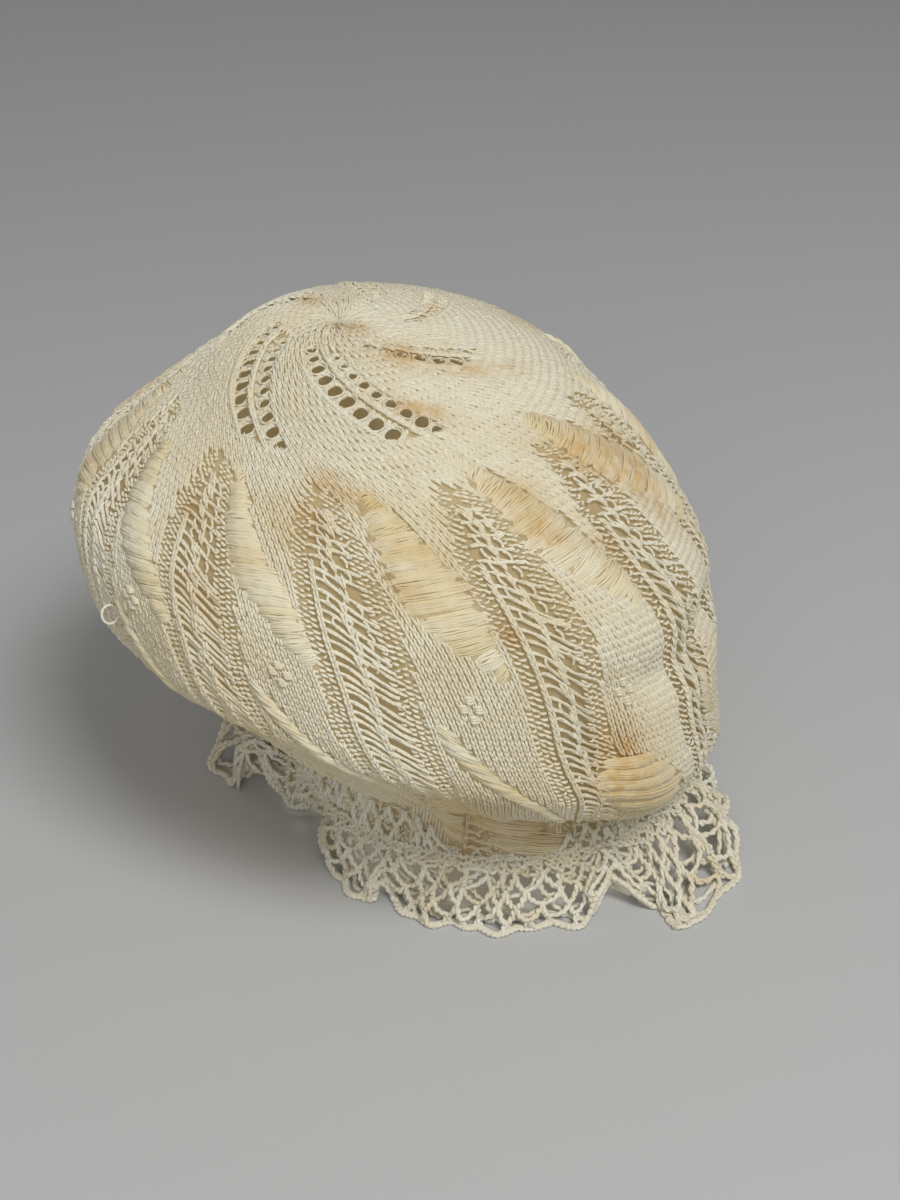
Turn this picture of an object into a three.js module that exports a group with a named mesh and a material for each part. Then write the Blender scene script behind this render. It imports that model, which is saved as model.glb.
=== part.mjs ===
// Knitted baby cap with a crocheted lace frill, standing on its frill. Millimetres, +Z up.
import * as THREE from "three";

// Fabric thicknesses and the clear gap at the seam between the two pieces
const KNIT_WALL = 1.8;
const LACE_WALL = 1.6;
const SEAM_GAP = 0.35;

// The middle of the footprint in the coordinates of the tables below
const FOOTPRINT = { x: -11.9, y: -0.95 };

// Counts of the knitted pattern, and its grid of columns round the cap
const REPEATS = 12;
const WINGS = 6;
const BODY_COLUMNS = 72;
const COLUMN_STEP = 360 / BODY_COLUMNS;
const FIRST_COLUMN = COLUMN_STEP / 2;
const REPEAT_STEP = 360 / REPEATS;
const WING_STEP = 360 / WINGS;
const FIRST_WING = 20;

// Rings of the soft main form: level runs from the crown, 0, to the seam of the frill, SEAM_LEVEL
const SEAM_LEVEL = 1.2;
const SECTIONS = [
  { level: 0.0, x: -28.0, y: 6.5, z: 118.4, rx: 0, ry: 0, pitch: 0, roll: 4 },
  { level: 0.1, x: -24.2, y: 7.2, z: 116.4, rx: 16.1, ry: 16.9, pitch: -0.1, roll: 2.5 },
  { level: 0.2, x: -19.5, y: 6.4, z: 111.3, rx: 30.9, ry: 32.0, pitch: -0.1, roll: 1.8 },
  { level: 0.3, x: -16.4, y: 4.6, z: 101.5, rx: 44.2, ry: 45.9, pitch: -1.1, roll: 3.8 },
  { level: 0.4, x: -15.8, y: 3.0, z: 89.3, rx: 56.9, ry: 56.7, pitch: -2.3, roll: 7.1 },
  { level: 0.5, x: -15.6, y: 1.0, z: 76.6, rx: 67.2, ry: 63.4, pitch: -3.0, roll: 10.3 },
  { level: 0.6, x: -15.3, y: -1.0, z: 62.0, rx: 70.0, ry: 65.0, pitch: -4.5, roll: 13.5 },
  { level: 0.7, x: -13.6, y: -3.0, z: 47.6, rx: 70.0, ry: 63.5, pitch: -7.0, roll: 14.9 },
  { level: 0.8, x: -10.3, y: -3.0, z: 37.9, rx: 61.2, ry: 58.5, pitch: -8.8, roll: 17.4 },
  { level: 0.9, x: -3.2, y: -2.0, z: 30.5, rx: 50.5, ry: 49.8, pitch: -7.6, roll: 10.7 },
  { level: 1.0, x: 0.7, y: 1.0, z: 24.0, rx: 41.0, ry: 37.5, pitch: -4.0, roll: 7 },
  { level: 1.1, x: 1.5, y: 0.5, z: 18.5, rx: 39.5, ry: 36.0, pitch: -1.0, roll: 5 },
  { level: 1.2, x: 2.5, y: 0.0, z: 13.0, rx: 41.5, ry: 37.5, pitch: 2.0, roll: 3.5 },
];

// Dents (depth below 0) and rolls (above 0) of the slumped fabric, each a soft mound along the normal
const FOLDS = [
  { name: "notch_right", angle: 346, level: 0.53, spreadAngle: 10, spreadLevel: 0.03, depth: -4.0 },
  { name: "crease_right", angle: 322, level: 0.545, spreadAngle: 14, spreadLevel: 0.03, depth: -2.6 },
  { name: "crease_down", angle: 306, level: 0.61, spreadAngle: 5, spreadLevel: 0.08, depth: -3.2 },
  { name: "puff_right", angle: 318, level: 0.68, spreadAngle: 12, spreadLevel: 0.06, depth: 1.5 },
  { name: "lower_roll", angle: 330, level: 0.86, spreadAngle: 26, spreadLevel: 0.09, depth: 3.0 },
  { name: "skirt_flare", angle: 322, level: 1.16, spreadAngle: 30, spreadLevel: 0.1, depth: 4.0 },
  { name: "front_roll", angle: 250, level: 0.86, spreadAngle: 24, spreadLevel: 0.05, depth: 2.0 },
  { name: "dent_left", angle: 150, level: 0.6, spreadAngle: 12, spreadLevel: 0.12, depth: -1.5 },
  { name: "dent_back_right", angle: 60, level: 0.5, spreadAngle: 9, spreadLevel: 0.14, depth: -1.6 },
  { name: "dent_back", angle: 100, level: 0.62, spreadAngle: 10, spreadLevel: 0.1, depth: -1.2 },
];

// The knitted lines spiral round the crown (turn) and are pulled down towards the front left (lean)
const LEAN_TO = 225;
const DRAPE = [
  { course: 0.0, turn: -104, lean: 0 },
  { course: 0.09, turn: -76, lean: 0.014 },
  { course: 0.14, turn: -61, lean: 0.023 },
  { course: 0.2, turn: -43, lean: 0.032 },
  { course: 0.27, turn: -25, lean: 0.036 },
  { course: 0.32, turn: -16, lean: 0.036 },
  { course: 0.38, turn: -9.5, lean: 0.031 },
  { course: 0.44, turn: -5.5, lean: 0.026 },
  { course: 0.52, turn: -2, lean: 0.018 },
  { course: 0.6, turn: 0.5, lean: 0.01 },
  { course: 0.75, turn: 3, lean: 0 },
  { course: 1.0, turn: 3.5, lean: 0 },
  { course: 1.2, turn: 0, lean: 0 },
];

// Raised bands of long floats, which cross each solid panel: offset is the angle from its middle
const FLOAT_BANDS = [
  [
    { course: 0.27, offset: -3.5 },
    { course: 0.34, offset: -3 },
    { course: 0.39, offset: 0 },
    { course: 0.44, offset: 3 },
    { course: 0.49, offset: 6 },
    { course: 0.53, offset: 8.5 },
  ],
  [
    { course: 0.59, offset: -8 },
    { course: 0.66, offset: -3 },
    { course: 0.73, offset: 2 },
    { course: 0.8, offset: 8 },
  ],
  [
    { course: 0.93, offset: -8 },
    { course: 1.0, offset: -3 },
    { course: 1.08, offset: 2 },
    { course: 1.16, offset: 8 },
  ],
];
const FLOAT_HALF_WIDTH = 6.5;
const FLOAT_RISE = 1.3;
const OPENWORK_HALF_WIDTH = 7.5;
const OPENWORK_DEPTH = 0.9;
const CROWN_DIMPLE = { depth: 1.6, spread: 0.035 };

// Eyelets cut through the crown: two columns of them in each wing, either side of its rib
const EYELET_ROWS = 4;
const EYELET_STEP = 0.02;
const FIRST_EYELET = 0.09;
const CROWN_COURSES = [0, 0.045];
const BODY_COURSES = [
  0.265, 0.3, 0.345, 0.39, 0.435, 0.48, 0.525, 0.57, 0.615, 0.66, 0.705,
  0.75, 0.795, 0.84, 0.885, 0.93, 0.975, 1.02, 1.07, 1.13, SEAM_LEVEL,
];

// The frill's outer edge: at is the angle on the seam, turn the angle that the lace is swept round
// by, radius and height place the edge, and belly is how far its middle swells out. A height below
// 0 presses the edge flat on the surface that the cap stands on.
const FRILL_EDGE = [
  { at: 5, turn: 2, radius: 57, height: 3, belly: 3 },
  { at: 22, turn: 0, radius: 53, height: -0.6, belly: 1 },
  { at: 40, turn: 0, radius: 58, height: 5, belly: 4 },
  { at: 58, turn: 0, radius: 53, height: -0.6, belly: 1 },
  { at: 76, turn: 0, radius: 58, height: 5, belly: 4 },
  { at: 94, turn: 0, radius: 53, height: -0.6, belly: 1 },
  { at: 112, turn: 0, radius: 58, height: 5, belly: 4 },
  { at: 130, turn: 0, radius: 54, height: -0.6, belly: 1 },
  { at: 146, turn: 1, radius: 59, height: 6, belly: 4 },
  { at: 157, turn: 7, radius: 62, height: 7, belly: 3 },
  { at: 164, turn: 8, radius: 64, height: 2, belly: 1 },
  { at: 171, turn: 7, radius: 57, height: -0.6, belly: 0 },
  { at: 178, turn: 0, radius: 55, height: 11, belly: 4 },
  { at: 184, turn: -3, radius: 51.5, height: 12, belly: 4 },
  { at: 190, turn: -5, radius: 47, height: 7, belly: 3 },
  { at: 197, turn: -7, radius: 42.5, height: 3, belly: 1 },
  { at: 204, turn: -7, radius: 38, height: 2.5, belly: 0 },
  { at: 209, turn: -4, radius: 35.5, height: 5, belly: 1 },
  { at: 214, turn: -3, radius: 38, height: 3, belly: 3 },
  { at: 223, turn: 0, radius: 43, height: 0, belly: 3 },
  { at: 231, turn: 1, radius: 45, height: -0.6, belly: 2 },
  { at: 238, turn: 1.5, radius: 45, height: -0.6, belly: 1 },
  { at: 243, turn: -2, radius: 43, height: 4, belly: 1 },
  { at: 249, turn: 0, radius: 45, height: -0.6, belly: 3 },
  { at: 260, turn: 1, radius: 47, height: -0.6, belly: 4 },
  { at: 272, turn: 0, radius: 48.7, height: -0.6, belly: 4 },
  { at: 285, turn: 1, radius: 50, height: -0.6, belly: 4 },
  { at: 294, turn: 2, radius: 52, height: -0.6, belly: 2 },
  { at: 301, turn: 1, radius: 51.4, height: 6, belly: 1 },
  { at: 306, turn: 0, radius: 50, height: 9, belly: 1 },
  { at: 311, turn: 0, radius: 55, height: 3, belly: 2 },
  { at: 316, turn: -1, radius: 59, height: -0.6, belly: 1 },
  { at: 321, turn: -8, radius: 65.8, height: -0.6, belly: 0 },
  { at: 327, turn: -10, radius: 67, height: -0.6, belly: 2 },
  { at: 335, turn: -4, radius: 66, height: -0.6, belly: 4 },
  { at: 343, turn: -4, radius: 64, height: 3, belly: 5 },
  { at: 351, turn: -3, radius: 60, height: 5, belly: 4 },
  { at: 358, turn: 0, radius: 57, height: 1.5, belly: 2 },
];
const BELLY_LIFT = 0.6;

// The lace net: mesh openings two columns wide, with one column of cord between them
const FRILL_COLUMNS = 108;
const FRILL_ROWS = [0, 0.12, 0.44, 0.56, 0.86, 1];
const OPEN_ROWS = [1, 3];
const OPENING_PITCH = 3;

const knitCotton = new THREE.MeshStandardMaterial({ color: 0xdccfae, roughness: 0.95, metalness: 0 });
const laceCotton = new THREE.MeshStandardMaterial({ color: 0xe6dec6, roughness: 0.95, metalness: 0 });

// Smooth curve through a column of a table, flat at its peaks so that it never overshoots
function curveOf(rows, key, value, period = 0) {
  let table = rows.map((row) => ({ key: row[key], value: row[value] }));
  if (period > 0) {
    const before = table.slice(-2).map((row) => ({ key: row.key - period, value: row.value }));
    const after = table.slice(0, 2).map((row) => ({ key: row.key + period, value: row.value }));
    table = [...before, ...table, ...after];
  }
  const last = table.length - 1;
  const secant = (i) => (table[i + 1].value - table[i].value) / (table[i + 1].key - table[i].key);
  const slope = table.map((_, i) => {
    if (i === 0) return secant(0);
    if (i === last) return secant(last - 1);
    const left = secant(i - 1);
    const right = secant(i);
    return left * right > 0 ? (2 * left * right) / (left + right) : 0;
  });
  return (position) => {
    let i = 0;
    while (i < last - 1 && position >= table[i + 1].key) i += 1;
    const width = table[i + 1].key - table[i].key;
    const t = (position - table[i].key) / width;
    const s = 1 - t;
    return (1 + 2 * t) * s * s * table[i].value + t * s * s * width * slope[i]
      + t * t * (3 - 2 * t) * table[i + 1].value - t * t * s * width * slope[i + 1];
  };
}

const section = {};
for (const column of ["x", "y", "z", "rx", "ry", "pitch", "roll"]) {
  section[column] = curveOf(SECTIONS, "level", column);
}
const drapeTurn = curveOf(DRAPE, "course", "turn");
const drapeLean = curveOf(DRAPE, "course", "lean");
const floatBands = FLOAT_BANDS.map((rows) => ({
  from: rows[0].course,
  to: rows[rows.length - 1].course,
  offset: curveOf(rows, "course", "offset"),
}));
const edge = {};
for (const column of ["turn", "radius", "height", "belly"]) {
  edge[column] = curveOf(FRILL_EDGE, "at", column, 360);
}

const radians = THREE.MathUtils.degToRad;
const bell = (distance, spread) => Math.exp(-((distance / spread) ** 2));
const angleBetween = (a, b) => THREE.MathUtils.euclideanModulo(a - b + 180, 360) - 180;

// A point of the plain form: an ellipse pitched about X, then rolled about Y
function ringPoint(angle, level) {
  const pitch = radians(section.pitch(level));
  const roll = radians(section.roll(level));
  const across = section.rx(level) * Math.cos(radians(angle));
  const along = section.ry(level) * Math.sin(radians(angle));
  const lift = along * Math.sin(pitch);
  return new THREE.Vector3(
    section.x(level) + across * Math.cos(roll) + lift * Math.sin(roll),
    section.y(level) + along * Math.cos(pitch),
    section.z(level) - across * Math.sin(roll) + lift * Math.cos(roll),
  );
}

// The outward normal of a surface given by angle and level
function normalOf(surface, angle, level) {
  const step = 0.004;
  const inside = Math.max(level, step);
  const round = surface(angle + 1, inside).sub(surface(angle - 1, inside));
  const down = surface(angle, inside + step).sub(surface(angle, inside - step));
  return down.cross(round).normalize();
}

function foldedPoint(angle, level) {
  let depth = 0;
  for (const fold of FOLDS) {
    const round = bell(angleBetween(angle, fold.angle), fold.spreadAngle);
    depth += fold.depth * round * bell(level - fold.level, fold.spreadLevel);
  }
  return ringPoint(angle, level).addScaledVector(normalOf(ringPoint, angle, level), depth);
}

// Where a point of the knitting, given by its wale's angle and its course, lies on the form
function drape(wale, course) {
  const angle = wale + drapeTurn(course);
  return { angle, level: course + drapeLean(course) * Math.cos(radians(angle - LEAN_TO)) };
}

// Height of the knitting above the plain form: floats stand proud and openwork is sunk
function relief(wale, course) {
  const fromPanel = angleBetween(wale % REPEAT_STEP, REPEAT_STEP / 2);
  const fromOpenwork = REPEAT_STEP / 2 - Math.abs(fromPanel);
  let height = -CROWN_DIMPLE.depth * bell(course, CROWN_DIMPLE.spread);
  if (course > BODY_COURSES[0]) {
    height -= OPENWORK_DEPTH * Math.max(0, 1 - (fromOpenwork / OPENWORK_HALF_WIDTH) ** 2);
  }
  for (const band of floatBands) {
    if (course >= band.from && course <= band.to) {
      const away = (fromPanel - band.offset(course)) / FLOAT_HALF_WIDTH;
      height += FLOAT_RISE * Math.max(0, 1 - away * away);
    }
  }
  return height;
}

// A closed wall over a grid of columns (round) and rows (down), with openings cut through it.
// faces(column, row) gives the outer and inner point; a pole closes the first row to one point.
function wallGeometry(columns, rows, faces, isOpen, hasPole) {
  const positions = [];
  const index = [];
  const grid = [];
  for (let row = 0; row < rows; row += 1) {
    const line = [];
    for (let column = 0; column < columns; column += 1) {
      if (hasPole && row === 0 && column > 0) {
        line.push(line[0]);
        continue;
      }
      const { outer, inner } = faces(column, row);
      const first = positions.length / 3;
      positions.push(...outer.toArray(), ...inner.toArray());
      line.push({ outer: first, inner: first + 1 });
    }
    grid.push(line);
  }
  const triangle = (a, b, c) => {
    if (a !== b && b !== c && a !== c) index.push(a, b, c);
  };
  const quad = (a, b, c, d) => {
    triangle(a, b, c);
    triangle(a, c, d);
  };
  const solid = (column, row) => row >= 0 && row < rows - 1 && !isOpen((column + columns) % columns, row);
  for (let row = 0; row < rows - 1; row += 1) {
    for (let column = 0; column < columns; column += 1) {
      if (!solid(column, row)) continue;
      const next = (column + 1) % columns;
      const a = grid[row][column];
      const b = grid[row + 1][column];
      const c = grid[row + 1][next];
      const d = grid[row][next];
      quad(a.outer, b.outer, c.outer, d.outer);
      quad(d.inner, c.inner, b.inner, a.inner);
      if (!solid(column - 1, row)) quad(b.outer, a.outer, a.inner, b.inner);
      if (!solid(column + 1, row)) quad(d.outer, c.outer, c.inner, d.inner);
      if (!solid(column, row + 1)) quad(c.outer, b.outer, b.inner, c.inner);
      if (!solid(column, row - 1) && !(hasPole && row === 0)) quad(a.outer, d.outer, d.inner, a.inner);
    }
  }
  const geometry = new THREE.BufferGeometry();
  geometry.setAttribute("position", new THREE.Float32BufferAttribute(positions, 3));
  geometry.setIndex(index);
  return geometry;
}

// The knitted body: a hollow wall from the crown down to the seam
function knitBody() {
  const eyeletCourses = Array.from({ length: 2 * EYELET_ROWS }, (_, i) => FIRST_EYELET + i * EYELET_STEP);
  const courses = [...CROWN_COURSES, ...eyeletCourses, ...BODY_COURSES];
  const faces = (column, row) => {
    const wale = FIRST_COLUMN + column * COLUMN_STEP;
    const { angle, level } = drape(wale, courses[row]);
    const middle = foldedPoint(angle, level);
    const normal = normalOf(foldedPoint, angle, level);
    const dimple = CROWN_DIMPLE.depth * bell(courses[row], CROWN_DIMPLE.spread);
    return {
      outer: middle.clone().addScaledVector(normal, KNIT_WALL / 2 + relief(wale, courses[row])),
      inner: middle.clone().addScaledVector(normal, -KNIT_WALL / 2 - dimple),
    };
  };
  const isEyelet = (column, row) => {
    const eyeletRow = row - CROWN_COURSES.length;
    const fromWing = (FIRST_COLUMN + (column + 0.5) * COLUMN_STEP - FIRST_WING + 360) % WING_STEP;
    const besideRib = Math.min(fromWing, WING_STEP - fromWing) === COLUMN_STEP;
    return besideRib && eyeletRow >= 0 && eyeletRow < 2 * EYELET_ROWS && eyeletRow % 2 === 0;
  };
  return wallGeometry(BODY_COLUMNS, courses.length, faces, isEyelet, true);
}

// The middle of the lace: it leaves the seam, swells out by its belly and ends on the edge
function lacePoint(at, share) {
  const seam = foldedPoint(at, SEAM_LEVEL);
  const down = seam.clone().sub(foldedPoint(at, SEAM_LEVEL - 0.02)).normalize();
  const top = seam.addScaledVector(down, SEAM_GAP);
  const swept = radians(at + edge.turn(at));
  const out = new THREE.Vector3(Math.cos(swept), Math.sin(swept), 0);
  const rim = out.clone().multiplyScalar(edge.radius(at)).setZ(edge.height(at));
  const middle = top.clone().add(rim).multiplyScalar(0.5);
  middle.addScaledVector(out.setZ(BELLY_LIFT), edge.belly(at));
  return new THREE.QuadraticBezierCurve3(top, middle, rim).getPoint(share);
}

// The lace frill: a ruffled wall with its openings cut through, flattened where it stands
function laceFrill() {
  const step = 360 / FRILL_COLUMNS;
  const faces = (column, row) => {
    const at = column * step;
    const share = FRILL_ROWS[row];
    const middle = lacePoint(at, share);
    const next = lacePoint(at, Math.min(share + 0.02, 1));
    const last = lacePoint(at, Math.max(share - 0.02, 0));
    const round = lacePoint((at + 1) % 360, share).sub(lacePoint((at + 359) % 360, share));
    const turned = next.sub(last).cross(round).normalize();
    const normal = row === 0 ? normalOf(foldedPoint, at, SEAM_LEVEL) : turned;
    const outer = middle.clone().addScaledVector(normal, LACE_WALL / 2);
    const inner = middle.clone().addScaledVector(normal, -LACE_WALL / 2);
    outer.z = Math.max(outer.z, 0);
    inner.z = Math.max(inner.z, 0);
    return { outer, inner };
  };
  const isOpening = (column, row) => {
    const gapRow = OPEN_ROWS.indexOf(row);
    return gapRow >= 0 && (column + gapRow) % OPENING_PITCH !== 0;
  };
  return wallGeometry(FRILL_COLUMNS, FRILL_ROWS.length, faces, isOpening, false);
}

function piece(name, geometry, material) {
  const mesh = new THREE.Mesh(geometry, material);
  mesh.name = name;
  mesh.position.set(-FOOTPRINT.x, -FOOTPRINT.y, 0);
  return mesh;
}

const cap = new THREE.Group();
cap.name = "cap";
cap.add(piece("cap_body", knitBody(), knitCotton));
cap.add(piece("lace_frill", laceFrill(), laceCotton));

export default cap;
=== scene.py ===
"""A knitted baby cap with a crocheted lace frill, built thread by thread. Metres, +Z up."""

import logging
import math
from dataclasses import dataclass, field
from enum import Enum
from typing import Any, Callable, Mapping, Sequence

import bmesh
import bpy
import numpy as np
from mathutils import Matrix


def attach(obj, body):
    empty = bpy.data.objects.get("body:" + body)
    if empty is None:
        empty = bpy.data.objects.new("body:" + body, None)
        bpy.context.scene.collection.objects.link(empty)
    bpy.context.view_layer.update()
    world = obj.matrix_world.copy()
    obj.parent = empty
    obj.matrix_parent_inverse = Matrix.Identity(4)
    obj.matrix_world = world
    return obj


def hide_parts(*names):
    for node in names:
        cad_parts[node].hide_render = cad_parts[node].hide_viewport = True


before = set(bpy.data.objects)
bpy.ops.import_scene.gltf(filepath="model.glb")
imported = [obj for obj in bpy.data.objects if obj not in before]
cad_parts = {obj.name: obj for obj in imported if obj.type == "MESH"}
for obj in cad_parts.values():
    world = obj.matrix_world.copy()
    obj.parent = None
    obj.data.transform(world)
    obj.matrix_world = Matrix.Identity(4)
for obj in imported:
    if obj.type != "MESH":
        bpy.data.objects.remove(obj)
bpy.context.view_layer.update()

log = logging.getLogger("baby_cap")

# One position or measure, or many; two arrays of them; and a place, a colour or a size
Places = np.ndarray | float
Pair = tuple[np.ndarray, np.ndarray]
Triple = tuple[float, float, float]

# Charts are written in millimetres, as a knitter measures, and become metres where they are read
MM = 0.001
CHART_SHIFT = np.array([11.9, 0.95, 0.0]) * MM
SEED = 11

SEAM_LEVEL = 1.2
# level, x, y, z, rx, ry, pitch, roll: rings of the soft form, from the crown to the seam
SECTIONS = (
    (0.0, -28.0, 6.5, 118.4, 0.0, 0.0, 0.0, 4.0),
    (0.1, -24.2, 7.2, 116.4, 16.1, 16.9, -0.1, 2.5),
    (0.2, -19.5, 6.4, 111.3, 30.9, 32.0, -0.1, 1.8),
    (0.3, -16.4, 4.6, 101.5, 44.2, 45.9, -1.1, 3.8),
    (0.4, -15.8, 3.0, 89.3, 56.9, 56.7, -2.3, 7.1),
    (0.5, -15.6, 1.0, 76.6, 67.2, 63.4, -3.0, 10.3),
    (0.6, -15.3, -1.0, 62.0, 70.0, 65.0, -4.5, 13.5),
    (0.7, -13.6, -3.0, 47.6, 70.0, 63.5, -7.0, 14.9),
    (0.8, -10.3, -3.0, 37.9, 61.2, 58.5, -8.8, 17.4),
    (0.9, -3.2, -2.0, 30.5, 50.5, 49.8, -7.6, 10.7),
    (1.0, 0.7, 1.0, 24.0, 41.0, 37.5, -4.0, 7.0),
    (1.1, 1.5, 0.5, 18.5, 39.5, 36.0, -1.0, 5.0),
    (1.2, 2.5, 0.0, 13.0, 41.5, 37.5, 2.0, 3.5),
)
# angle, level, spread in angle, spread in level, depth: dents below 0 and soft rolls above it
FOLDS = (
    (346, 0.53, 10, 0.03, -4.0),
    (322, 0.545, 14, 0.03, -2.6),
    (306, 0.61, 5, 0.08, -3.2),
    (318, 0.68, 12, 0.06, 1.5),
    (330, 0.86, 26, 0.09, 3.0),
    (322, 1.16, 30, 0.1, 4.0),
    (250, 0.86, 24, 0.05, 2.0),
    (150, 0.6, 12, 0.12, -1.5),
    (60, 0.5, 9, 0.14, -1.6),
    (100, 0.62, 10, 0.1, -1.2),
)
LEAN_TO = 225
# course, turn, lean: how the knitted lines spiral round the crown and sag to the front left
DRAPE = (
    (0.0, -104, 0.0),
    (0.09, -76, 0.014),
    (0.14, -61, 0.023),
    (0.2, -43, 0.032),
    (0.27, -25, 0.036),
    (0.32, -16, 0.036),
    (0.38, -9.5, 0.031),
    (0.44, -5.5, 0.026),
    (0.52, -2, 0.018),
    (0.6, 0.5, 0.01),
    (0.75, 3, 0.0),
    (1.0, 3.5, 0.0),
    (1.2, 0, 0.0),
)
# at, turn, radius, height, belly: the outer edge of the frill round the seam
FRILL_EDGE = (
    (5, 2, 57, 3, 3), (22, 0, 53, -0.6, 1), (40, 0, 58, 5, 4), (58, 0, 53, -0.6, 1),
    (76, 0, 58, 5, 4), (94, 0, 53, -0.6, 1), (112, 0, 58, 5, 4), (130, 0, 54, -0.6, 1),
    (146, 1, 59, 6, 4), (157, 7, 62, 7, 3), (164, 8, 64, 2, 1), (171, 7, 57, -0.6, 0),
    (178, 0, 55, 11, 4), (184, -3, 51.5, 12, 4), (190, -5, 47, 7, 3), (197, -7, 42.5, 3, 1),
    (204, -7, 38, 2.5, 0), (209, -4, 35.5, 5, 1), (214, -3, 38, 3, 3), (223, 0, 43, 0, 3),
    (231, 1, 45, -0.6, 2), (238, 1.5, 45, -0.6, 1), (243, -2, 43, 4, 1), (249, 0, 45, -0.6, 3),
    (260, 1, 47, -0.6, 4), (272, 0, 48.7, -0.6, 4), (285, 1, 50, -0.6, 4), (294, 2, 52, -0.6, 2),
    (301, 1, 51.4, 6, 1), (306, 0, 50, 9, 1), (311, 0, 55, 3, 2), (316, -1, 59, -0.6, 1),
    (321, -8, 65.8, -0.6, 0), (327, -10, 67, -0.6, 2), (335, -4, 66, -0.6, 4),
    (343, -4, 64, 3, 5), (351, -3, 60, 5, 4), (358, 0, 57, 1.5, 2),
)
BELLY_LIFT = 0.6
SEAM_GAP = 0.35
# at, rise: how far the gathered lace climbs over the skirt of the cap, from 0 to 1
FRILL_RISE = (
    (10, 0.2), (40, 0.7), (70, 0.1), (100, 0.8), (135, 0.2), (160, 0.6), (185, 0.7), (205, 1.0),
    (248, 1.0), (264, 0.15), (286, 0.1), (300, 0.7), (325, 0.9), (348, 0.5),
)

# Counts of the pattern, in degrees of the knitting round the cap
REPEATS = 12
REPEAT_STEP = 360 / REPEATS
STITCH_WIDTH = 1.42
ROW_PITCH = 1.4
CROWN_ROW_PITCH = 1.75
OPENWORK_FROM = 0.27
# course, left, right: the edges of each openwork panel, in degrees from its middle
OPENWORK_EDGES = (
    (0.262, 6.5, 9.5), (0.283, 2.5, 11.2), (0.315, -2.2, 10.2), (0.35, -6.2, 9.0),
    (0.41, -8.5, 8.2), (0.48, -9.2, 7.6), (0.55, -9.5, 6.4), (0.62, -10.0, 5.8),
    (0.8, -9.0, 6.0), (1.2, -8.0, 6.6),
)
# How far each openwork panel sits round from the chart, from the panel at 0 degrees on
OPENWORK_SHIFT = (2.0, 0.0, 0.0, 0.0, 0.0, 0.0, 0.0, 0.0, -0.5, -2.0, 1.2, 4.0)
WINGS = 6
CROWN_END = 0.262
EYELET_STEP = 0.0146
PUCKER_DEPTH = 2.2
PUCKER_SPREAD = 0.03
# course, left holes, rib, right holes: the lines of each crown wing, in degrees round the cap
WING_LINES = (
    ((0.075, 4.0, 10.0, 15.0), (0.105, 13.3, 19.5, 24.5), (0.15, 21.5, 27.0, 32.0)),
    ((0.085, 74.0, 82.0, 89.0), (0.12, 89.0, 95.0, 101.0), (0.16, 98.0, 104.0, 109.0)),
    ((0.075, 143.0, 151.0, 158.0), (0.12, 150.0, 156.5, 163.0), (0.17, 152.0, 158.0, 164.0)),
    ((0.085, 206.0, 215.0, 224.0), (0.13, 206.0, 213.5, 221.0), (0.19, 205.0, 211.5, 218.0)),
    (
        (0.095, 268.0, 278.0, 288.5), (0.13, 265.7, 273.5, 281.5), (0.17, 262.8, 269.2, 276.0),
        (0.2, 261.0, 267.2, 273.7), (0.236, 262.2, 267.8, 273.2),
    ),
    (
        (0.09, 315.0, 325.0, 333.0), (0.13, 314.0, 323.2, 330.8), (0.17, 314.2, 322.6, 329.4),
        (0.219, 315.4, 322.8, 328.2),
    ),
)
# course, left, right: where the long floats cross a solid panel, in degrees from its middle
FLOAT_BANDS = (
    (
        (0.277, 0.4, 4.4), (0.3, -2.4, 5.0), (0.318, -4.2, 5.3), (0.354, -5.7, 6.4),
        (0.393, -6.9, 7.6), (0.416, -6.8, 7.4), (0.43, -4.9, 7.0), (0.455, -2.8, 6.4),
        (0.474, 0.0, 6.1), (0.494, 3.0, 5.8), (0.509, 4.4, 5.6),
    ),
    (
        (0.585, -9.4, -8.0), (0.614, -9.6, -5.8), (0.64, -8.6, -3.8), (0.664, -7.3, -2.2),
        (0.69, -5.6, -0.3), (0.71, -3.9, 1.5), (0.754, 0.4, 4.8), (0.79, 3.2, 7.2), (0.82, 6.0, 8.2),
    ),
    (
        (0.93, -8.3, -5.4), (0.97, -8.3, -1.0), (1.01, -7.2, 3.4), (1.06, -4.0, 7.2),
        (1.11, 0.4, 8.2), (1.15, 4.6, 8.2),
    ),
)
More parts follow.
